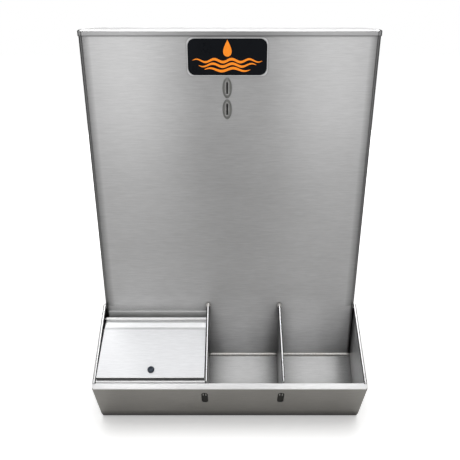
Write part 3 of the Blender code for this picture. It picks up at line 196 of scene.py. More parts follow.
class SteelSettings(bpy.types.PropertyGroup):
    """Colour and grain of the brushed sheet"""

    colour: bpy.props.FloatVectorProperty(
        name="Sheet colour", description="Reflected colour of the brushed sheet",
        subtype="COLOR", size=3, min=0.0, max=1.0, default=(0.582, 0.582, 0.585))
    roughness: bpy.props.FloatProperty(
        name="Roughness", description="Blur of what the brushed sheet reflects",
        subtype="FACTOR", min=0.0, max=1.0, default=0.36)
    stretch: bpy.props.FloatProperty(
        name="Stretch", description="How far highlights are drawn out across the grain",
        subtype="FACTOR", min=0.0, max=1.0, default=0.80)
    grain_pitch: bpy.props.FloatProperty(
        name="Grain pitch", description="Distance between neighbouring brush lines",
        unit="LENGTH", min=0.0001, default=0.0010)
    grain_length: bpy.props.FloatProperty(
        name="Grain length", description="Length of a brush line",
        unit="LENGTH", min=0.005, default=0.020)
    # Colour of the painted highlights on folded edges, tight bends and the lid's crown
    highlight_colour: bpy.props.FloatVectorProperty(
        name="Burnished colour", description="Reflected colour of folded edges and tight bends",
        subtype="COLOR", size=3, min=0.0, max=1.0, default=(0.86, 0.86, 0.86))
    # Reach of the painted shade that ambient occlusion lays beside folds and joints
    crease_shade_reach: bpy.props.FloatProperty(
        name="Crease reach", description="Reach of the dulling beside folds and joints",
        unit="LENGTH", min=0.001, default=0.045)
    lip_roll: bpy.props.FloatProperty(
        name="Lip roll", description="Radius of the roll along the lip's lower bend",
        unit="LENGTH", min=0.0005, default=0.0027)
    crown_rise: bpy.props.FloatProperty(
        name="Crown rise", description="Rise of the lid's pressed crown over its flat sheet",
        unit="LENGTH", min=0.0005, default=0.0030)
    crown_run: bpy.props.FloatProperty(
        name="Crown run", description="Width of the round edge of the lid's crown",
        unit="LENGTH", min=0.001, default=0.0080)
    band_pitch: bpy.props.FloatProperty(
        name="Band pitch", description="Distance between the broad bands that a brushing belt leaves",
        unit="LENGTH", min=0.0005, default=0.0034)
    band_length: bpy.props.FloatProperty(
        name="Band length", description="Length of a broad band",
        unit="LENGTH", min=0.01, default=0.032)


class WeldSettings(bpy.types.PropertyGroup):
    """Size of the weld beads"""

    leg: bpy.props.FloatProperty(
        name="Leg", description="Width of the pan's weld bead on each sheet",
        unit="LENGTH", min=0.001, default=0.0047)
    ripple_pitch: bpy.props.FloatProperty(
        name="Ripple pitch", description="Distance between the ripples of a bead",
        unit="LENGTH", min=0.0005, default=0.0036)
    ripple_height: bpy.props.FloatProperty(
        name="Ripple height", description="Height of a ripple",
        unit="LENGTH", min=0.0, default=0.0004)
    tack_radius: bpy.props.FloatProperty(
        name="Fitting bead", description="Half width of the beads that hold the outer fittings",
        unit="LENGTH", min=0.0005, default=0.0020)


class BadgeSettings(bpy.types.PropertyGroup):
    """Colours and drawing of the badge"""

    ground: bpy.props.FloatVectorProperty(
        name="Ground", description="Colour of the badge's face",
        subtype="COLOR", size=3, min=0.0, max=1.0, default=(0.0065, 0.0080, 0.0110))
    ink: bpy.props.FloatVectorProperty(
        name="Ink", description="Colour of the drop and the waves",
        subtype="COLOR", size=3, min=0.0, max=1.0, default=(0.95, 0.27, 0.02))
    # Painted light: a steady glow that stands in for the fluorescent ink's brightness and shines without any
    # lamp
    glow: bpy.props.FloatProperty(
        name="Glow", description="Light that the fluorescent ink gives back",
        min=0.0, max=2.0, default=0.42)
    border: bpy.props.FloatVectorProperty(
        name="Border", description="Colour of the thin edge round the badge",
        subtype="COLOR", size=3, min=0.0, max=1.0, default=(0.72, 0.72, 0.73))
    border_width: bpy.props.FloatProperty(
        name="Border width", description="Width of the thin edge round the badge",
        unit="LENGTH", min=0.0002, default=0.0019)
    corner: bpy.props.FloatProperty(
        name="Corner", description="Radius of the corners of the badge's dark face",
        unit="LENGTH", min=0.0, default=0.0145)


class StageSettings(bpy.types.PropertyGroup):
    """Camera and lights"""

    distance: bpy.props.FloatProperty(
        name="Camera distance", description="Distance of the camera in front of the tank",
        unit="LENGTH", min=0.2, default=1.1139)
    height: bpy.props.FloatProperty(
        name="Camera height", description="Height of the camera above the floor",
        unit="LENGTH", min=0.0, default=0.894)
    sideways: bpy.props.FloatProperty(
        name="Camera offset", description="Distance of the camera to the right of the middle",
        unit="LENGTH", min=-1.0, default=0.0006)
    pitch: bpy.props.FloatProperty(
        name="Camera tilt", description="Angle that the camera looks down",
        unit="ROTATION", min=0.0, max=math.pi / 2.0, default=math.radians(22.3))
    focal: bpy.props.FloatProperty(
        name="Focal length", description="Focal length on a sensor 36 mm wide",
        unit="CAMERA", min=1.0, max=200.0, default=40.89)
    ambient: bpy.props.FloatProperty(
        name="Ambient", description="Brightness of the studio's walls and ceiling",
        min=0.0, max=5.0, default=0.04)
    top_power: bpy.props.FloatProperty(
        name="Top softbox", description="Power of the softbox straight above",
        unit="POWER", min=0.0, default=33.0)
    left_power: bpy.props.FloatProperty(
        name="Left softbox", description="Power of the softbox left of the camera",
        unit="POWER", min=0.0, default=5.0)
    right_power: bpy.props.FloatProperty(
        name="Right softbox", description="Power of the softbox right of the camera",
        unit="POWER", min=0.0, default=4.4)
    side_power: bpy.props.FloatProperty(
        name="Side softboxes", description="Power of each of the two softboxes beside the ends",
        unit="POWER", min=0.0, default=8.0)
    back_power: bpy.props.FloatProperty(
        name="Back softbox", description="Power of the wide low softbox behind the tank",
        unit="POWER", min=0.0, default=42.0)
    camera_power: bpy.props.FloatProperty(
        name="Camera softbox", description="Power of the softbox just above and behind the camera",
        unit="POWER", min=0.0, default=10.5)
    low_power: bpy.props.FloatProperty(
        name="Low softbox", description="Power of the wide low softbox behind the camera",
        unit="POWER", min=0.0, default=5.0)


# Meshes


def new_piece(name, bm, material, body="frame", smooth=True):
    """Turn a bmesh into a named piece that rides on a body and takes its finish from a slot."""
    bmesh.ops.recalc_face_normals(bm, faces=bm.faces[:])
    mesh = bpy.data.meshes.new(name)
    bm.to_mesh(mesh)
    bm.free()
    if smooth:
        mesh.shade_smooth()
        mesh.set_sharp_from_angle(angle=SHARP_ANGLE)
    piece = bpy.data.objects.new(name, mesh)
    bpy.context.scene.collection.objects.link(piece)
    mesh.materials.append(material)
    if body:
        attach(piece, body)
    return piece


def skin_rings(rings, caps=True):
    """Return a bmesh through closed rings of points, capped at both ends."""
    bm = bmesh.new()
    loops = [[bm.verts.new(point) for point in ring] for ring in rings]
    for first, second in zip(loops, loops[1:]):
        count = len(first)
        for index in range(count):
            after = (index + 1) % count
            bm.faces.new((first[index], first[after], second[after], second[index]))
    if caps:
        bm.faces.new(loops[0])
        bm.faces.new(loops[-1])
    return bm


def ripple(distance, settings, seed):
    """Return the height of a weld's surface at a distance along it."""
    pitch = settings.ripple_pitch
    wobble = noise.noise(Vector((distance / pitch * WOBBLE_RATE, seed, 0.0)))
    phase = math.pi * (distance / pitch + WOBBLE_SHARE * wobble)
    lump = noise.noise(Vector((distance / (pitch * LUMP_RIPPLES), seed + 7.0, 3.0)))
    return settings.ripple_height * (abs(math.sin(phase)) - RIPPLE_MEAN + LUMP_SHARE * lump)


def bead_stations(start, end, settings, run_out, end_size):
    """Yield the distance, place and size of each ring along a bead that narrows at both ends."""
    run = end - start
    length = run.length
    along = run.normalized()
    steps = max(2, int(length / (settings.ripple_pitch / RIPPLE_STEPS)))
    for step in range(steps + 1):
        distance = length * step / steps
        size = min(1.0, end_size + (1.0 - end_size) * min(distance, length - distance) / run_out)
        yield distance, start + along * distance, size


def corner_bead(name, start, end, first_way, second_way, leg, settings, seed, material):
    """Lay a convex bead in the corner between two sheets, with a crescent ripple along it."""
    spread = first_way.angle(second_way)
    rings = []
    for distance, place, size in bead_stations(start, end, settings, leg, CORNER_END):
        ring = [place]
        for turn in range(BEAD_TURNS + 1):
            share = turn / BEAD_TURNS
            way = first_way.slerp(second_way, share)
            crown = math.sin(math.pi * share)
            flat = math.cos(spread / 2.0) / math.cos(spread * (share - 0.5))
            lag = settings.ripple_pitch * CORNER_LAG * crown
            relief = EDGE_RIPPLE + (1.0 - EDGE_RIPPLE) * crown
            height = leg * (flat + CORNER_CROWN * crown) + ripple(distance + lag, settings, seed) * relief
            ring.append(place + way * (height * size))
        rings.append(ring)
    return new_piece(name, skin_rings(rings), material)


def flat_bead(name, start, end, outward, half_width, rise, settings, seed, material):
    """Lay a low bead along a line on a flat sheet or down the edge of a plate."""
    side = outward.cross((end - start).normalized()).normalized()
    rings = []
    for distance, place, size in bead_stations(start, end, settings, half_width, FLAT_END):
        ring = []
        for turn in range(BEAD_TURNS + 1):
            angle = math.pi * turn / BEAD_TURNS
            crown = math.sin(angle)
            lag = FLAT_LAG * crown * half_width
            height = rise * crown * size + ripple(distance + lag, settings, seed) * crown
            across = math.cos(angle) * half_width * size
            ring.append(place + side * across + outward * height)
        rings.append(ring)
    return new_piece(name, skin_rings(rings), material)


def dab(name, centre, radii, seed, material):
    """Leave a small uneven lump of weld metal."""
    bm = bmesh.new()
    bmesh.ops.create_icosphere(bm, subdivisions=3, radius=1.0)
    for vertex in bm.verts:
        lump = 1.0 + DAB_LUMP * noise.noise(vertex.co * DAB_RATE + Vector((seed, 0.0, 0.0)))
        vertex.co = centre + Vector([lump * size * part for size, part in zip(radii, vertex.co)])
    return new_piece(name, bm, material)


def circle(radius):
    """Return the points of a circle about the origin as pairs."""
    turns = [2.0 * math.pi * step / ROLL_STEPS for step in range(ROLL_STEPS)]
    return [(math.cos(turn) * radius, math.sin(turn) * radius) for turn in turns]


def rivet(name, foot, radius, height, material):
    """Set a domed rivet head on a face that looks to the rear."""
    rings = []
    for share in RIVET_RINGS:
        dome = math.sqrt(1.0 - share * share)
        rise = height * (RIVET_WALL + (1.0 - RIVET_WALL) * dome) if share < 1.0 else 0.0
        rings.append([foot + Vector((across, rise, up)) for across, up in circle(share * radius)])
    return new_piece(name, skin_rings(rings), material)


def round_rectangle(width, height, radius):
    """Return the outline of a rectangle with round corners, about the origin."""
    outline = []
    for sign_x, sign_z, quarter in ((1, 1, 0), (-1, 1, 1), (-1, -1, 2), (1, -1, 3)):
        centre = (sign_x * (width / 2.0 - radius), sign_z * (height / 2.0 - radius))
        for step in range(CORNER_STEPS + 1):
            angle = math.pi / 2.0 * (quarter + step / CORNER_STEPS)
            outline.append((centre[0] + radius * math.cos(angle), centre[1] + radius * math.sin(angle)))
    return outline


# Materials


def grey(level):
    """Return a neutral colour."""
    return (level, level, level)


def start_material(name, roughness, metallic, colour):
    """Return a material with its node tree, its shader and its object coordinates."""
    material = bpy.data.materials.new(name)
    material.use_nodes = True
    tree = material.node_tree
    shader = tree.nodes["Principled BSDF"]
    shader.inputs["Base Color"].default_value = (*colour, 1.0)
    shader.inputs["Roughness"].default_value = roughness
    shader.inputs["Metallic"].default_value = metallic
    material.diffuse_color = (*colour, 1.0)
    place = tree.nodes.new("ShaderNodeTexCoord")
    return material, tree, shader, place.outputs["Object"]


def streaks(tree, coordinates, scale, detail, seed=0.0):
    """Return noise drawn out by unlike scales along X, Y and Z."""
    mapping = tree.nodes.new("ShaderNodeMapping")
    mapping.inputs["Scale"].default_value = scale
    mapping.inputs["Location"].default_value = (seed, seed * 1.7, seed * 0.6)
    tree.links.new(coordinates, mapping.inputs["Vector"])
    field = tree.nodes.new("ShaderNodeTexNoise")
    field.inputs["Scale"].default_value = 1.0
    field.inputs["Detail"].default_value = detail
    field.inputs["Roughness"].default_value = 0.6
    tree.links.new(mapping.outputs["Vector"], field.inputs["Vector"])
    return field.outputs["Fac"]


def remap(tree, value, low, high, floor=0.25, ceiling=0.75):
    """Return a value spread from floor..ceiling onto low..high."""
    node = tree.nodes.new("ShaderNodeMapRange")
    node.inputs["From Min"].default_value = floor
    node.inputs["From Max"].default_value = ceiling
    node.inputs["To Min"].default_value = low
    node.inputs["To Max"].default_value = high
    tree.links.new(value, node.inputs["Value"])
    return node.outputs["Result"]


def calculate(tree, operation, first, second):
    """Return the result of a math node; a plain number is set on its socket."""
    node = tree.nodes.new("ShaderNodeMath")
    node.operation = operation
    for socket, value in zip(node.inputs, (first, second)):
        if isinstance(value, (int, float)):
            socket.default_value = value
        else:
            tree.links.new(value, socket)
    return node.outputs["Value"]


def shade(tree, colour, factor):
    """Return a colour multiplied by a grey value."""
    node = tree.nodes.new("ShaderNodeMix")
    node.data_type = "RGBA"
    node.blend_type = "MULTIPLY"
    node.inputs["Factor"].default_value = 1.0
    node.inputs["A"].default_value = (*colour, 1.0)
    tree.links.new(factor, node.inputs["B"])
    return node.outputs["Result"]


def finish_shader(tree, shader, colour, roughness, height, depth, strength):
    """Link a shader's colour and roughness, and give it a bump of a real depth."""
    relief = tree.nodes.new("ShaderNodeBump")
    relief.inputs["Strength"].default_value = strength
    relief.inputs["Distance"].default_value = depth
    tree.links.new(height, relief.inputs["Height"])
    tree.links.new(relief.outputs["Normal"], shader.inputs["Normal"])
    tree.links.new(colour, shader.inputs["Base Color"])
    tree.links.new(roughness, shader.inputs["Roughness"])


def painted_crease_shade(tree, reach, darkest_crease_shade):
    """Return a factor of painted shade, darkest where surfaces meet within a reach, taken from ambient
    occlusion.
    """
    node = tree.nodes.new("ShaderNodeAmbientOcclusion")
    node.samples = 8
    node.inputs["Distance"].default_value = reach
    return remap(tree, node.outputs["AO"], darkest_crease_shade, 1.0, *CREASE_SPAN)


def fade(tree, coordinates, edge):
    """Return a factor of painted light and shade by place: 1 at the start distance from a plane and the
    edge's factor at its end distance.
    """
    parts = tree.nodes.new("ShaderNodeSeparateXYZ")
    tree.links.new(coordinates, parts.inputs["Vector"])
    distance = calculate(tree, "SUBTRACT", parts.outputs[edge.axis], edge.centre)
    distance = calculate(tree, "ABSOLUTE", distance, 0.0)
    factor = remap(tree, distance, 1.0, edge.factor, edge.start, edge.end)
    if edge.above:
        spared = remap(tree, parts.outputs["Z"], 1.0, 0.0, edge.above - FADE_STEP, edge.above)
        factor = calculate(tree, "MAXIMUM", factor, spared)
    return factor


def brushed_sheet(name, settings, run, colour=None, roughness=None, seed=0.0, darkest_crease_shade=0.30, reach=None,
                  fading=(), relief=0.35):
    """Return brushed stainless with painted crease shade and painted fadings; run names the axes that the
    grain may lie along, such as 'XY'.
    """
    colour = colour or tuple(settings.colour)
    roughness = roughness or settings.roughness
    reach = reach or settings.crease_shade_reach
    material, tree, shader, place = start_material(name, roughness, 1.0, colour)

    def scales(pitch, length):
        return tuple(1.0 / (length if axis in run else pitch) for axis in "XYZ")

    fine = streaks(tree, place, scales(settings.grain_pitch, settings.grain_length), 2.0, seed)
    broad = streaks(tree, place, scales(settings.band_pitch, settings.band_length), 3.0, seed + 3.1)
    cloud = streaks(tree, place, (CLOUD_RATE,) * 3, 3.0, seed + 5.7)
    grain = calculate(tree, "MULTIPLY", remap(tree, fine, *FINE_TONE), remap(tree, broad, *BROAD_TONE))
    tone = calculate(tree, "MULTIPLY", grain, remap(tree, cloud, *CLOUD_TONE))
    # Painted shade: the colour darkens where surfaces meet
    tone = calculate(tree, "MULTIPLY", tone, painted_crease_shade(tree, reach, darkest_crease_shade))
    # Painted light and shade by place on the object
    for edge in fading:
        tone = calculate(tree, "MULTIPLY", tone, fade(tree, place, edge))
    blur = calculate(tree, "ADD", remap(tree, broad, *BROAD_BLUR), remap(tree, cloud, *CLOUD_BLUR))
    finish_shader(tree, shader, shade(tree, colour, tone), calculate(tree, "ADD", blur, roughness),
                  calculate(tree, "ADD", fine, broad), TOOL_DEPTH, relief)
    shader.inputs["Anisotropic"].default_value = settings.stretch
    tangent = tree.nodes.new("ShaderNodeCombineXYZ")
    tangent.inputs["Y"].default_value = TANGENT_LEAN
    tangent.inputs["Z"].default_value = 1.0
    tree.links.new(tangent.outputs["Vector"], shader.inputs["Tangent"])
    return material


def lean_normal(material, normal):
    """Shade a sheet as if it faced along a normal given in the piece's own space."""
    tree = material.node_tree
    turn = tree.nodes.new("ShaderNodeVectorTransform")
    turn.vector_type = "NORMAL"
    turn.convert_from = "OBJECT"
    turn.convert_to = "WORLD"
    turn.inputs["Vector"].default_value = normal
    relief = next(node for node in tree.nodes if node.bl_idname == "ShaderNodeBump")
    tree.links.new(turn.outputs["Vector"], relief.inputs["Normal"])


def weld_metal(name, colour, roughness):
    """Return bare weld metal, mottled and slightly straw-coloured by heat."""
    material, tree, shader, place = start_material(name, roughness, 1.0, colour)
    mottle = streaks(tree, place, (MOTTLE_RATE,) * 3, 4.0)
    tint = streaks(tree, place, (TINT_RATE,) * 3, 2.0, 2.0)
    warm = shade(tree, colour, remap(tree, mottle, *MOTTLE_TONE))
    blend = tree.nodes.new("ShaderNodeMix")
    blend.data_type = "RGBA"
    tree.links.new(remap(tree, tint, *TINT_SHARE), blend.inputs["Factor"])
    tree.links.new(warm, blend.inputs["A"])
    straw = [part * share for part, share in zip(colour, STRAW)]
    blend.inputs["B"].default_value = (*straw, 1.0)
    blur = remap(tree, mottle, roughness - 0.1, roughness + 0.12)
    finish_shader(tree, shader, blend.outputs["Result"], blur, mottle, MOTTLE_DEPTH, 0.5)
    return material


def turned_metal(name, colour, roughness, metallic=1.0):
    """Return machined metal with fine tool marks and faint handling stains."""
    material, tree, shader, place = start_material(name, roughness, metallic, colour)
    marks = streaks(tree, place, (TOOL_RATE,) * 3, 2.0)
    stains = streaks(tree, place, (STAIN_RATE,) * 3, 4.0, 1.3)
    tone = calculate(tree, "MULTIPLY", remap(tree, marks, *TOOL_TONE), remap(tree, stains, *STAIN_TONE))
    blur = remap(tree, stains, roughness + 0.10, roughness - 0.06)
    finish_shader(tree, shader, shade(tree, colour, tone), blur, marks, TOOL_DEPTH, 0.4)
    return material


def moulded(name, colour, roughness, pores):
    """Return moulded plastic, rubber or lacquer with a fine skin texture."""
    material, tree, shader, place = start_material(name, roughness, 0.0, colour)
    skin = streaks(tree, place, (pores,) * 3, 3.0)
    cloud = streaks(tree, place, (SHADE_RATE,) * 3, 3.0, 4.0)
    tone = calculate(tree, "MULTIPLY", remap(tree, skin, *SKIN_TONE), remap(tree, cloud, *SHADE_TONE))
    blur = remap(tree, cloud, roughness - 0.05, roughness + 0.08)
    finish_shader(tree, shader, shade(tree, colour, tone), blur, skin, PORE_DEPTH, 0.35)
    return material


def paint_faces(node, material, chosen):
    """Give the faces of a CAD node that a test chooses another material."""
    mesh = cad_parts[node].data
    mesh.materials.append(material)
    slot = len(mesh.materials) - 1
    for face in mesh.polygons:
        if chosen(face.center, face.normal):
            face.material_index = slot


def paint_nodes(material, *nodes):
    """Give CAD nodes one material in every slot."""
    for node in nodes:
        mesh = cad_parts[node].data
        for index in range(len(mesh.materials)):
            mesh.materials[index] = material


# Operators


class MEDICATOR_OT_sheet_metal(bpy.types.Operator):
    """Give the sheet parts their brushed steel, with painted light and shade, and the vents their dark
    casting
    """

    bl_idname = "medicator.sheet_metal"
    bl_label = "Sheet Metal"

    def execute(self, context):
        steel = context.scene.medicator_steel
        self.colour_tank(steel)
        self.colour_trough(steel)
        self.colour_lid(steel)
        self.colour_cover(steel)
        self.colour_vents()
        self.colour_pan(steel)
        self.paint_edge_highlights(steel)
        return {"FINISHED"}

    def colour_tank(self, steel):
        """Paint shade onto the tank front's corners above the trough and a band at middle height, paint
        light onto its lower part, and leave its sides and back plain.
        """
        # Painted shade: the tank front darkens towards its side corners above the trough
        corner = Fade("X", centre=0.0, start=TANK_HIGH.x - CORNER_SHADE, end=TANK_HIGH.x, factor=0.24,
                      above=PLATE_TOP)
        # Painted light: the tank front brightens towards its foot
        foot = Fade("Z", centre=0.0, start=0.27, end=0.18, factor=1.38)
        # Painted shade: a band across the tank front at middle height is darkened
        middle = Fade("Z", centre=0.48, start=0.22, end=0.08, factor=0.90)
        paint_nodes(brushed_sheet("tank_sheet", steel, "XY", darkest_crease_shade=0.40, reach=0.040,
                                  fading=[corner, foot, middle]), "tank_wrap")
        rear = brushed_sheet("tank_back_sheet", steel, "X", seed=5.0)
        paint_nodes(rear, "tank_back")
        paint_faces("tank_wrap", rear, lambda centre, normal: normal.y > 0.5)
        flank = brushed_sheet("tank_side_sheet", steel, "Y", seed=3.0)
        paint_faces("tank_wrap", flank, lambda centre, normal: abs(normal.x) > 0.97)

    def colour_trough(self, steel):
        """Run the grain along the pan and hooks, and across the dividers and end plates."""
        # Painted light: the pan, hooks and tank floor take a lighter copy of the sheet colour
        lengthwise = brushed_sheet("trough_sheet", steel, "X", colour=grey(0.65), seed=11.0, reach=0.070)
        paint_nodes(lengthwise, "trough_pan", "tank_floor", "gate_hook_left", "gate_hook_right")
        # Painted light: the cover's rest and backing strips take near-white copies of the sheet colour, with
        # little crease shade
        paint_nodes(brushed_sheet("rest_sheet", steel, "X", colour=grey(0.98), roughness=0.45, seed=13.0,
                                  darkest_crease_shade=0.9), "cover_rest_strip")
        paint_nodes(brushed_sheet("backing_sheet", steel, "X", colour=grey(0.86), roughness=0.50, seed=41.0,
                                  darkest_crease_shade=0.9), "cover_backing_strip")
        # Painted shade: the dividers darken towards the tank
        towards_tank = Fade("Y", centre=0.0, start=0.115, end=0.050, factor=0.32)
        divider = brushed_sheet("divider_sheet", steel, "Y", seed=23.0, darkest_crease_shade=0.36, fading=[towards_tank])
        # Painted light: the end plates take a lighter copy of the sheet colour, with less crease shade
        end_plate = brushed_sheet("end_sheet", steel, "Y", colour=grey(0.70), seed=29.0, darkest_crease_shade=0.74)
        paint_nodes(divider, "divider_left", "divider_right")
        paint_nodes(end_plate, "end_plate_left", "end_plate_right")

    def colour_lid(self, steel):
        """Give the lid's flange a darker copy of the sheet colour and a painted shadow along its rim, and
        lay a pressed crown on its top in a painted highlight, with painted shade at its ends.
        """
        # Painted shadow along the flange's lower rim, and painted shade: the flange takes a darker copy of
        # the sheet colour
        rim = Fade("Z", centre=0.0, start=LID_LOW.z + 0.0030, end=LID_LOW.z + 0.0012, factor=0.55)
        paint_nodes(brushed_sheet("lid_sheet", steel, "X", colour=(0.44, 0.44, 0.443), seed=17.0,
                                  fading=[rim]), "lid")
        # Painted highlight: the crown takes a near-white copy of the sheet colour, with painted shade at its
        # ends
        ends = Fade("X", centre=0.0, start=LID_HIGH.x - 0.0060, end=LID_HIGH.x - 0.0020, factor=0.42)
        top = brushed_sheet("lid_top_sheet", steel, "X", colour=tuple(steel.highlight_colour), roughness=0.36,
                            seed=19.0, darkest_crease_shade=0.9, fading=[ends], relief=0.04)
        centre = (LID_LOW + LID_HIGH) / 2.0
        width = LID_HIGH.x - LID_LOW.x + CROWN_LAP
        depth = LID_HIGH.y - LID_LOW.y + CROWN_LAP
        rings = []
        for step in range(CROWN_STEPS + 1):
            turn = math.pi / 2.0 * step / CROWN_STEPS
            inset = steel.crown_run * (1.0 - math.cos(turn))
            height = LID_HIGH.z - CROWN_SKIRT + (steel.crown_rise + CROWN_SKIRT) * math.sin(turn)
            outline = round_rectangle(width - 2.0 * inset, depth - 2.0 * inset, LID_CORNER - inset * 0.6)
            rings.append([Vector((centre.x + x, centre.y + y, height)) for x, y in outline])
        new_piece("lid_crown", skin_rings(rings), top, body="lid")

    def colour_cover(self, steel):
        """Give the cover's panel and flange lighter copies of the sheet colour as painted light, with
        painted shade along the fold line and beside the barrel, and paint its front edge dark as painted
        shade.
        """
        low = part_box("cover")[0]
        # Painted shade along the fold line and along the flange's edge beside the barrel
        fold = Fade("Z", centre=COVER_BEND_Z, start=0.0012, end=0.0005, factor=0.60)
        hinge_line = Fade("Y", centre=BARREL_FRONT_Y, start=0.0026, end=0.0012, factor=0.62)
        # Painted light: the panel takes a lighter copy of the sheet colour
        paint_nodes(brushed_sheet("cover_sheet", steel, "X", colour=(0.640, 0.645, 0.658), seed=31.0,
                                  darkest_crease_shade=0.6, fading=[fold]), "cover")
        # Painted light: the flange takes a near-white copy of the sheet colour
        flange = brushed_sheet("flange_sheet", steel, "X", colour=(0.93, 0.935, 0.945), roughness=0.40,
                               seed=71.0, darkest_crease_shade=0.95, reach=0.02, fading=[fold, hinge_line])
        lean_normal(flange, (0.0, -0.42, 0.907))
        paint_faces("cover", flange, lambda centre, normal: centre.z > COVER_BEND_Z and normal.z > 0.90)
        # Painted shade: the forward-facing front edge is nearly black
        edge = brushed_sheet("cover_edge_sheet", steel, "X", colour=grey(0.10), roughness=0.50, seed=37.0)
        paint_faces("cover", edge, lambda centre, normal: (
            centre.y < low.y + COVER_FRONT and normal.y < -0.5 and normal.z <= 0.05))

    def colour_vents(self):
        """Cast the vent plates dark, with a brighter raised rim, and paint the slot's walls black as painted
        shade.
        """
        cast = turned_metal("vent_casting", (0.25, 0.25, 0.24), 0.42, 0.85)
        rim = turned_metal("vent_rim_casting", (0.46, 0.46, 0.45), 0.34, 0.9)
        # Painted shade: the slot's walls are black where the recess lies in shade
        slot = moulded("vent_slot", grey(0.012), 0.7, 1400.0)
        for node in ("vent_plate_upper", "vent_plate_lower"):
            low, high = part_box(node)
            middle = (low + high) / 2.0
            paint_nodes(cast, node)
            paint_faces(node, rim, lambda centre, normal: centre.y < low.y + VENT_RIM)
            paint_faces(node, slot, lambda centre, normal: (
                abs(centre.x - middle.x) < VENT_SLOT_HALF_WIDTH and abs(normal.y) < MOST_TURN
                and abs(centre.z - middle.z) < VENT_SLOT_HALF_HEIGHT))

    def colour_pan(self, steel):
        """Darken the pan's front wall as painted shade, brighten the lip's band as painted light and its
        bend as a painted highlight, and roll the bend round.
        """
        pan_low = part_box("trough_pan")[0]
        # Painted shade and painted reflection: the front wall takes a darker, warm copy of the sheet colour
        # for the shaded floor it faces
        wall = brushed_sheet("wall_sheet", steel, "X", colour=(0.442, 0.430, 0.407), seed=61.0, reach=0.030)
        paint_faces("trough_pan", wall, lambda centre, normal: (
            centre.y < pan_low.y + WALL_REACH and normal.y < -0.5 and normal.z < WALL_NORMAL_Z))
        # Painted light: the lip's band takes a near-white copy of the sheet colour
        band = brushed_sheet("lip_sheet", steel, "X", colour=(0.93, 0.93, 0.935), roughness=0.40,
                             seed=67.0, darkest_crease_shade=0.92)
        paint_faces("trough_pan", band, lambda centre, normal: (
            centre.y < pan_low.y + LIP_REACH and abs(normal.x) < MOST_TURN and normal.z >= BAND_NORMAL_Z))
        # Painted highlight: the lip's bend and the roll along it take a near-white copy of the sheet colour
        bend = brushed_sheet("lip_bend_sheet", steel, "X", colour=grey(0.99), roughness=0.44,
                             seed=73.0, darkest_crease_shade=0.95)
        paint_faces("trough_pan", bend, lambda centre, normal: (
            centre.y < pan_low.y + LIP_REACH and abs(normal.x) < MOST_TURN
            and WALL_NORMAL_Z < normal.z < BAND_NORMAL_Z))
        reach = TANK_HIGH.x
        rings = []
        for x in (-reach, -reach + LIP_TAPER, reach - LIP_TAPER, reach):
            swell = 1.0 if abs(x) < reach else 0.6
            rings.append([Vector((x, pan_low.y + LIP_INSET + across, LIP_ROLL_Z + rise))
                          for across, rise in circle(steel.lip_roll * swell)])
        new_piece("lip_roll", skin_rings(rings), bend)

    def paint_edge_highlights(self, steel):
        """Paint highlights onto the hems and the cover's barrel and front bend, and painted shade onto the
        hems' sides.
        """
        # Painted highlight: a near-white copy of the sheet colour on hems and bends
        bright = brushed_sheet("painted_edge_highlight", steel, "XYZ", colour=tuple(steel.highlight_colour), roughness=0.28,
                               seed=53.0, darkest_crease_shade=0.80, relief=0.02)
        # Painted shade: the hems' sides are nearly black
        hem_shade = brushed_sheet("hem_shade_sheet", steel, "Y", colour=grey(0.04), roughness=0.45,
                                 seed=47.0, darkest_crease_shade=0.8)
        for word in SIDES:
            low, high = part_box(f"divider_{word}")
            middle = (low.x + high.x) / 2.0
            self.paint_hem_highlight(f"divider_{word}", bright, hem_shade, lambda x: abs(x - middle) > HALF_SHEET)
            low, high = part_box(f"end_plate_{word}")
            inner = high.x if word == "left" else low.x
            self.paint_hem_highlight(f"end_plate_{word}", bright, hem_shade,
                             lambda x: abs(x - inner) < 2.0 * HALF_SHEET)
        low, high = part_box("cover")
        # Painted highlight on the cover's barrel and front bend
        barrel = brushed_sheet("barrel_sheet", steel, "X", colour=tuple(steel.highlight_colour), roughness=0.38,
                               seed=59.0, darkest_crease_shade=0.80, relief=0.02)
        paint_faces("cover", barrel, lambda centre, normal: (
            centre.z > high.z - BARREL_HEIGHT
            or (centre.y < low.y + COVER_FRONT and 0.0 < normal.z < 0.86 and abs(normal.x) < MOST_TURN)))

    def paint_hem_highlight(self, node, bright, hem_shade, on_hem):
        """Paint a highlight onto a plate's hem and its upper edges, and painted shade onto the hem's sides.
        """
        paint_faces(node, bright, lambda centre, normal: (
            on_hem(centre.x) or (abs(normal.x) < 0.95 and normal.z > 0.05)))
        paint_faces(node, hem_shade, lambda centre, normal: on_hem(centre.x) and abs(normal.x) > HEM_NORMAL_X)


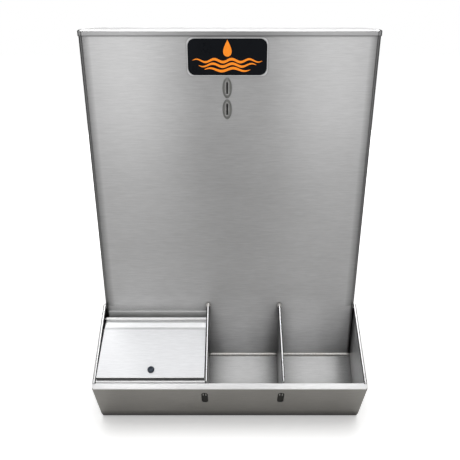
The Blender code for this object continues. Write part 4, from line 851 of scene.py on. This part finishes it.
class MEDICATOR_OT_welds(bpy.types.Operator):
    """Lay the weld beads of the pan, the dividers, the gate hooks, the tank's back and the slots"""

    bl_idname = "medicator.welds"
    bl_label = "Welds"

    def execute(self, context):
        weld = context.scene.medicator_weld
        metal = weld_metal("weld_metal", (0.88, 0.875, 0.86), 0.42)
        self.pan_beads(weld, metal)
        self.divider_dabs(metal)
        self.hook_beads(weld, metal)
        self.seam_tacks(weld, metal)
        self.slot_ribs(weld)
        return {"FINISHED"}

    def pan_beads(self, weld, metal):
        """Lay rippled beads where the plain welds between the pan and the tank are."""
        up = Vector((0.0, 0.0, 1.0))
        for index, word in enumerate(("left", "middle", "right")):
            low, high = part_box(f"pan_weld_{word}")
            root = Vector((0.0, high.y + ROOT_SINK, low.z + ROOT_RISE))
            start = root + Vector((low.x, 0.0, 0.0))
            end = root + Vector((high.x, 0.0, 0.0))
            down_pan = Vector((0.0, low.y - high.y, low.z - root.z)).normalized()
            bead = corner_bead(f"pan_bead_{word}", start, end, up, down_pan, weld.leg, weld,
                               1.0 + index, metal)
            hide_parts(f"pan_weld_{word}")

    def divider_dabs(self, metal):
        """Dab each divider's tip onto the tank's front."""
        for index, word in enumerate(SIDES):
            low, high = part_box(f"divider_{word}")
            tip = Vector(((low.x + high.x) / 2.0, FRONT_Y - TIP_INSET, high.z - TIP_INSET))
            dab(f"divider_dab_{word}", tip, DAB_RADII, 5.0 + index, metal)

    def hook_beads(self, weld, metal):
        """Weld the gate hooks' plates down both sides."""
        for word in SIDES:
            low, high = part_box(f"gate_hook_{word}")
            for side, x, outwards in (("inner", low.x, -1.0), ("outer", high.x, 1.0)):
                way = Vector((outwards, 0.0, 0.0))
                start = Vector((x, BACK_HIGH.y, low.z + HOOK_BEAD_FOOT))
                end = Vector((x, BACK_HIGH.y, high.z - HOOK_BEAD_HEAD))
                corner_bead(f"hook_bead_{word}_{side}", start, end, way, REAR, HOOK_LEG, weld,
                            11.0 + x * 20.0, metal)

    def seam_tacks(self, weld, metal):
        """Tack the tank's back down both of its seams."""
        for side, x in (("left", BACK_LOW.x), ("right", BACK_HIGH.x)):
            for row in range(SEAM_TACKS):
                height = TANK_HIGH.z * (row + 0.5) / SEAM_TACKS
                start = Vector((x, BACK_HIGH.y, height - TACK_HALF_LENGTH))
                end = Vector((x, BACK_HIGH.y, height + TACK_HALF_LENGTH))
                flat_bead(f"seam_tack_{side}_{row + 1}", start, end, REAR, weld.tack_radius, TACK_RISE,
                          weld, 31.0 + row, metal)

    def slot_ribs(self, weld):
        """Leave two bright runs at the head of each dark slot weld."""
        metal = weld_metal("slot_rib_metal", (0.55, 0.55, 0.54), 0.4)
        for word in SIDES:
            low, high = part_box(f"slot_weld_{word}")
            slope = Vector((0.0, low.y - high.y, high.z - low.z)).normalized()
            outward = Vector((0.0, -slope.z, slope.y))
            head = Vector(((low.x + high.x) / 2.0, low.y, high.z))
            for side, across in (("left", -RIB_OFFSET), ("right", RIB_OFFSET)):
                start = head - slope * RIB_START + Vector((across, 0.0, 0.0))
                end = head - slope * RIB_END + Vector((across, 0.0, 0.0))
                flat_bead(f"slot_rib_{word}_{side}", start, end, outward, RIB_HALF_WIDTH, RIB_RISE, weld,
                          71.0 + across * 900.0, metal)


class MEDICATOR_OT_badge(bpy.types.Operator):
    """Finish the badge: dark lacquer, a thin bright edge and a plain sign for drinking water"""

    bl_idname = "medicator.badge"
    bl_label = "Badge"

    def execute(self, context):
        badge = context.scene.medicator_badge
        lacquer = moulded("badge_lacquer", tuple(badge.ground), 0.30, INK_PORES)
        lacquer.node_tree.nodes["Principled BSDF"].inputs["Specular IOR Level"].default_value = 0.08
        paint_nodes(lacquer, "badge_plate")
        low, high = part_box("badge_plate")
        centre = (low + high) / 2.0
        size = high - low
        edge = badge.border_width
        outer = round_rectangle(size.x + edge, size.z + edge, PLATE_CORNER + edge / 2.0)
        inner = round_rectangle(size.x - edge, size.z - edge, badge.corner)
        rings = []
        proud = low.y - BORDER_PROUD
        for outline, y in ((outer, high.y), (outer, proud), (inner, proud), (inner, high.y)):
            rings.append([Vector((centre.x + x, y, centre.z + z)) for x, z in outline])
        rings.append(rings[0])
        bm = skin_rings(rings, caps=False)
        bmesh.ops.remove_doubles(bm, verts=bm.verts[:], dist=MERGE_DISTANCE)
        trim = moulded("badge_border_ink", tuple(badge.border), 0.4, INK_PORES)
        new_piece("badge_border", bm, trim)
        ink = moulded("badge_ink", tuple(badge.ink), 0.45, INK_PORES)
        shader = ink.node_tree.nodes["Principled BSDF"]
        shader.inputs["Specular IOR Level"].default_value = 0.15
        # Painted light: the ink glows on its own, standing in for its fluorescence
        shader.inputs["Emission Color"].default_value = (*badge.ink, 1.0)
        shader.inputs["Emission Strength"].default_value = badge.glow
        place = Vector((centre.x, low.y - INK_PROUD, centre.z))
        self.print_waves(ink, place, size.x, size.z)
        self.print_drop(ink, place, size.z)
        return {"FINISHED"}

    def print_waves(self, ink, centre, width, height):
        """Print three waves, each shorter and with fewer crests than the one above it."""
        for row in range(WAVES):
            bm = bmesh.new()
            length = width * (WAVE_LENGTH - WAVE_SHORTENING * row)
            base = centre.z - height * (WAVE_DROP + WAVE_SPACING * row)
            upper = []
            lower = []
            for step in range(WAVE_STEPS + 1):
                share = step / WAVE_STEPS
                x = centre.x + (share - 0.5) * length
                turn = share * math.pi * 2.0 * (WAVE_CRESTS - row) + math.pi * row
                crest = math.sin(turn) * height * WAVE_RISE
                thick = height * WAVE_THICK * math.sin(math.pi * share) ** 0.5
                upper.append(bm.verts.new((x, centre.y, base + crest + thick)))
                lower.append(bm.verts.new((x, centre.y, base + crest - thick)))
            for step in range(WAVE_STEPS):
                bm.faces.new((upper[step], lower[step], lower[step + 1], upper[step + 1]))
            new_piece(f"badge_wave_{row + 1}", bm, ink, smooth=False)

    def print_drop(self, ink, centre, height):
        """Print a drop above the waves."""
        bm = bmesh.new()
        outline = []
        radius = height * DROP_RADIUS
        for step in range(WAVE_STEPS):
            turn = 2.0 * math.pi * step / WAVE_STEPS
            across = math.sin(turn) * radius * (math.sin(turn / 2.0) ** DROP_POINT)
            up = height * DROP_RISE + radius * DROP_STRETCH * math.cos(turn)
            outline.append(bm.verts.new((centre.x + across, centre.y, centre.z + up)))
        bm.faces.new(outline)
        new_piece("badge_drop", bm, ink, smooth=False)


class MEDICATOR_OT_fittings(bpy.types.Operator):
    """Finish the hinges, the cover's screw, the slot welds and the float valve, and set the rivets"""

    bl_idname = "medicator.fittings"
    bl_label = "Fittings"

    def execute(self, context):
        steel = context.scene.medicator_steel
        paint_nodes(brushed_sheet("leaf_sheet", steel, "X", colour=grey(0.50), seed=43.0, darkest_crease_shade=0.5),
                    "lid_hinge_leaf_left", "lid_hinge_leaf_right",
                    "lid_hinge_flap_left", "lid_hinge_flap_right")
        paint_nodes(turned_metal("fitting_steel", grey(0.52), 0.26),
                    "lid_hinge_pin_left", "lid_hinge_pin_right", "cover_hinge_pin", "cover_nut")
        paint_nodes(turned_metal("screw_steel", (0.055, 0.068, 0.090), 0.42, 0.6), "cover_screw")
        self.set_rivets()
        paint_nodes(weld_metal("slot_weld_metal", (0.055, 0.055, 0.052), 0.5),
                    "slot_weld_left", "slot_weld_right")
        paint_nodes(turned_metal("valve_brass", (0.66, 0.47, 0.20), 0.28),
                    "valve_body", "valve_lock_nut", "valve_plunger", "float_lever", "lever_pin", "float_rod",
                    "float_nut")
        paint_nodes(moulded("valve_rubber", grey(0.018), 0.65, 900.0),
                    "valve_gasket_outer", "valve_gasket_inner", "plunger_washer")
        paint_nodes(moulded("float_shell", (0.62, 0.085, 0.035), 0.42, 700.0), "float")
        return {"FINISHED"}

    def set_rivets(self):
        """Rivet the lid's hinge leaves and the gate hooks; a rivet is given as radius and height."""
        metal = turned_metal("rivet_steel", (0.70, 0.70, 0.69), 0.30)
        for word in SIDES:
            low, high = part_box(f"lid_hinge_leaf_{word}")
            for index, share in enumerate((0.15, 0.5, 0.85)):
                foot = Vector((low.x + (high.x - low.x) * share, low.y + LEAF_FACE, low.z + LEAF_RIVET_RISE))
                rivet(f"leaf_rivet_{word}_{index + 1}", foot, *LEAF_RIVET, metal)
            low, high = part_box(f"gate_hook_{word}")
            for index, rise in enumerate(HOOK_RIVET_RISES):
                foot = Vector(((low.x + high.x) / 2.0, low.y + HOOK_SHEET, low.z + rise))
                rivet(f"hook_rivet_{word}_{index + 1}", foot, *HOOK_RIVET, metal)


def area_light(name, location, target, size, energy):
    """Hang a rectangular softbox that faces a point."""
    data = bpy.data.lights.new(name, "AREA")
    data.shape = "RECTANGLE"
    data.size, data.size_y = size
    data.energy = energy
    light = bpy.data.objects.new(name, data)
    light.location = location
    way = Vector(target) - Vector(location)
    light.rotation_euler = way.to_track_quat("-Z", "Y").to_euler()
    bpy.context.scene.collection.objects.link(light)


def studio_world(ambient):
    """Light the studio evenly, and show the camera a white backdrop."""
    world = bpy.data.worlds.new("studio")
    world.use_nodes = True
    bpy.context.scene.world = world
    tree = world.node_tree
    tree.nodes.clear()
    output = tree.nodes.new("ShaderNodeOutputWorld")
    rays = tree.nodes.new("ShaderNodeLightPath")
    mix = tree.nodes.new("ShaderNodeMixShader")
    tree.links.new(rays.outputs["Is Camera Ray"], mix.inputs["Fac"])
    for slot, strength in ((1, ambient), (2, 1.0)):
        light = tree.nodes.new("ShaderNodeBackground")
        light.inputs["Strength"].default_value = strength
        light.inputs["Color"].default_value = (1.0, 1.0, 1.0, 1.0)
        tree.links.new(light.outputs["Background"], mix.inputs[slot])
    tree.links.new(mix.outputs["Shader"], output.inputs["Surface"])


def floor_material():
    """Return a pale floor that reads white to the camera and shows the object's shadow: a real shadow on its
    diffuse surface and, for camera rays, a painted shadow where ambient occlusion lowers its glow.
    """
    material, tree, shader, place = start_material("studio_floor", 0.9, 0.0, (0.80, 0.795, 0.785))
    rays = tree.nodes.new("ShaderNodeLightPath")
    # Painted shadow: for camera rays the floor's emission is lowered by ambient occlusion near the object
    near = tree.nodes.new("ShaderNodeAmbientOcclusion")
    near.samples = 16
    near.inputs["Distance"].default_value = 0.09
    lift = remap(tree, near.outputs["AO"], 0.30, 0.68, 0.28, 0.95)
    away = tree.nodes.new("ShaderNodeVectorMath")
    away.operation = "LENGTH"
    tree.links.new(place, away.inputs["Vector"])
    far = remap(tree, away.outputs["Value"], 0.0, 1.0, 0.45, 0.95)
    lift = calculate(tree, "MAXIMUM", lift, far)
    lift = calculate(tree, "MULTIPLY", rays.outputs["Is Camera Ray"], lift)
    shader.inputs["Emission Color"].default_value = (1.0, 1.0, 1.0, 1.0)
    tree.links.new(lift, shader.inputs["Emission Strength"])
    return material


class MEDICATOR_OT_stage(bpy.types.Operator):
    """Set up the floor, the softboxes and the camera"""

    bl_idname = "medicator.stage"
    bl_label = "Stage"

    def execute(self, context):
        stage = context.scene.medicator_stage
        scene = context.scene
        scene.view_settings.view_transform = "Standard"
        studio_world(stage.ambient)
        bm = bmesh.new()
        bmesh.ops.create_grid(bm, x_segments=1, y_segments=1, size=FLOOR_SIZE)
        floor = new_piece("studio_floor", bm, floor_material(), body=None, smooth=False)
        floor.location = (0.0, 0.0, FLOOR_Z)
        middle = (0.0, 0.0, 0.45)
        area_light("top_softbox", (0.0, 0.15, 2.3), (0.0, 0.15, 0.0), (2.4, 1.9), stage.top_power)
        area_light("back_softbox", (0.0, 3.2, 0.9), (0.0, 0.0, 0.7), (4.5, 1.8), stage.back_power)
        area_light("camera_softbox", (0.0, -2.5, 2.05), (0.0, -0.2, 0.13), (2.6, 0.7), stage.camera_power)
        area_light("left_softbox", (-0.72, -2.5, 1.0), (-0.3, 0.0, 0.6), (0.62, 2.0), stage.left_power)
        area_light("right_softbox", (0.72, -2.5, 1.0), (0.3, 0.0, 0.6), (0.62, 2.0), stage.right_power)
        area_light("left_side_softbox", (-2.4, -0.9, 1.0), middle, (1.8, 2.0), stage.side_power)
        area_light("right_side_softbox", (2.4, -0.9, 1.0), middle, (1.8, 2.0), stage.side_power)
        area_light("low_softbox", (0.0, -3.6, 0.6), middle, (4.4, 1.0), stage.low_power)
        data = bpy.data.cameras.new("camera")
        data.sensor_width = 36.0
        data.lens = stage.focal
        data.clip_start = 0.05
        camera = bpy.data.objects.new("camera", data)
        camera.location = (stage.sideways, FRONT_Y - stage.distance, stage.height)
        camera.rotation_euler = (math.pi / 2.0 - stage.pitch, 0.0, 0.0)
        scene.collection.objects.link(camera)
        scene.camera = camera
        return {"FINISHED"}


class MEDICATOR_PT_panel(bpy.types.Panel):
    """Lists the medicator's operators and settings"""

    bl_label = "Medicator"
    bl_idname = "MEDICATOR_PT_panel"
    bl_space_type = "VIEW_3D"
    bl_region_type = "UI"
    bl_category = "Medicator"

    def draw(self, context):
        for operator in OPERATORS:
            self.layout.operator(operator.bl_idname)
        for attribute, settings in SETTINGS:
            box = self.layout.box()
            for name in settings.__annotations__:
                box.prop(getattr(context.scene, attribute), name)


SETTINGS = (
    ("medicator_steel", SteelSettings),
    ("medicator_weld", WeldSettings),
    ("medicator_badge", BadgeSettings),
    ("medicator_stage", StageSettings),
)
OPERATORS = (
    MEDICATOR_OT_stage,
    MEDICATOR_OT_sheet_metal,
    MEDICATOR_OT_welds,
    MEDICATOR_OT_badge,
    MEDICATOR_OT_fittings,
)


def register():
    """Register the settings, the operators and the panel."""
    for attribute, settings in SETTINGS:
        bpy.utils.register_class(settings)
        setattr(bpy.types.Scene, attribute, bpy.props.PointerProperty(type=settings))
    for operator in OPERATORS:
        bpy.utils.register_class(operator)
    bpy.utils.register_class(MEDICATOR_PT_panel)


def unregister():
    """Remove what register added."""
    bpy.utils.unregister_class(MEDICATOR_PT_panel)
    for operator in reversed(OPERATORS):
        bpy.utils.unregister_class(operator)
    for attribute, settings in reversed(SETTINGS):
        delattr(bpy.types.Scene, attribute)
        bpy.utils.unregister_class(settings)


def main():
    """Run every operator in order."""
    register()
    for operator in OPERATORS:
        group, name = operator.bl_idname.split(".")
        getattr(getattr(bpy.ops, group), name)()


if __name__ == "__main__":
    main()
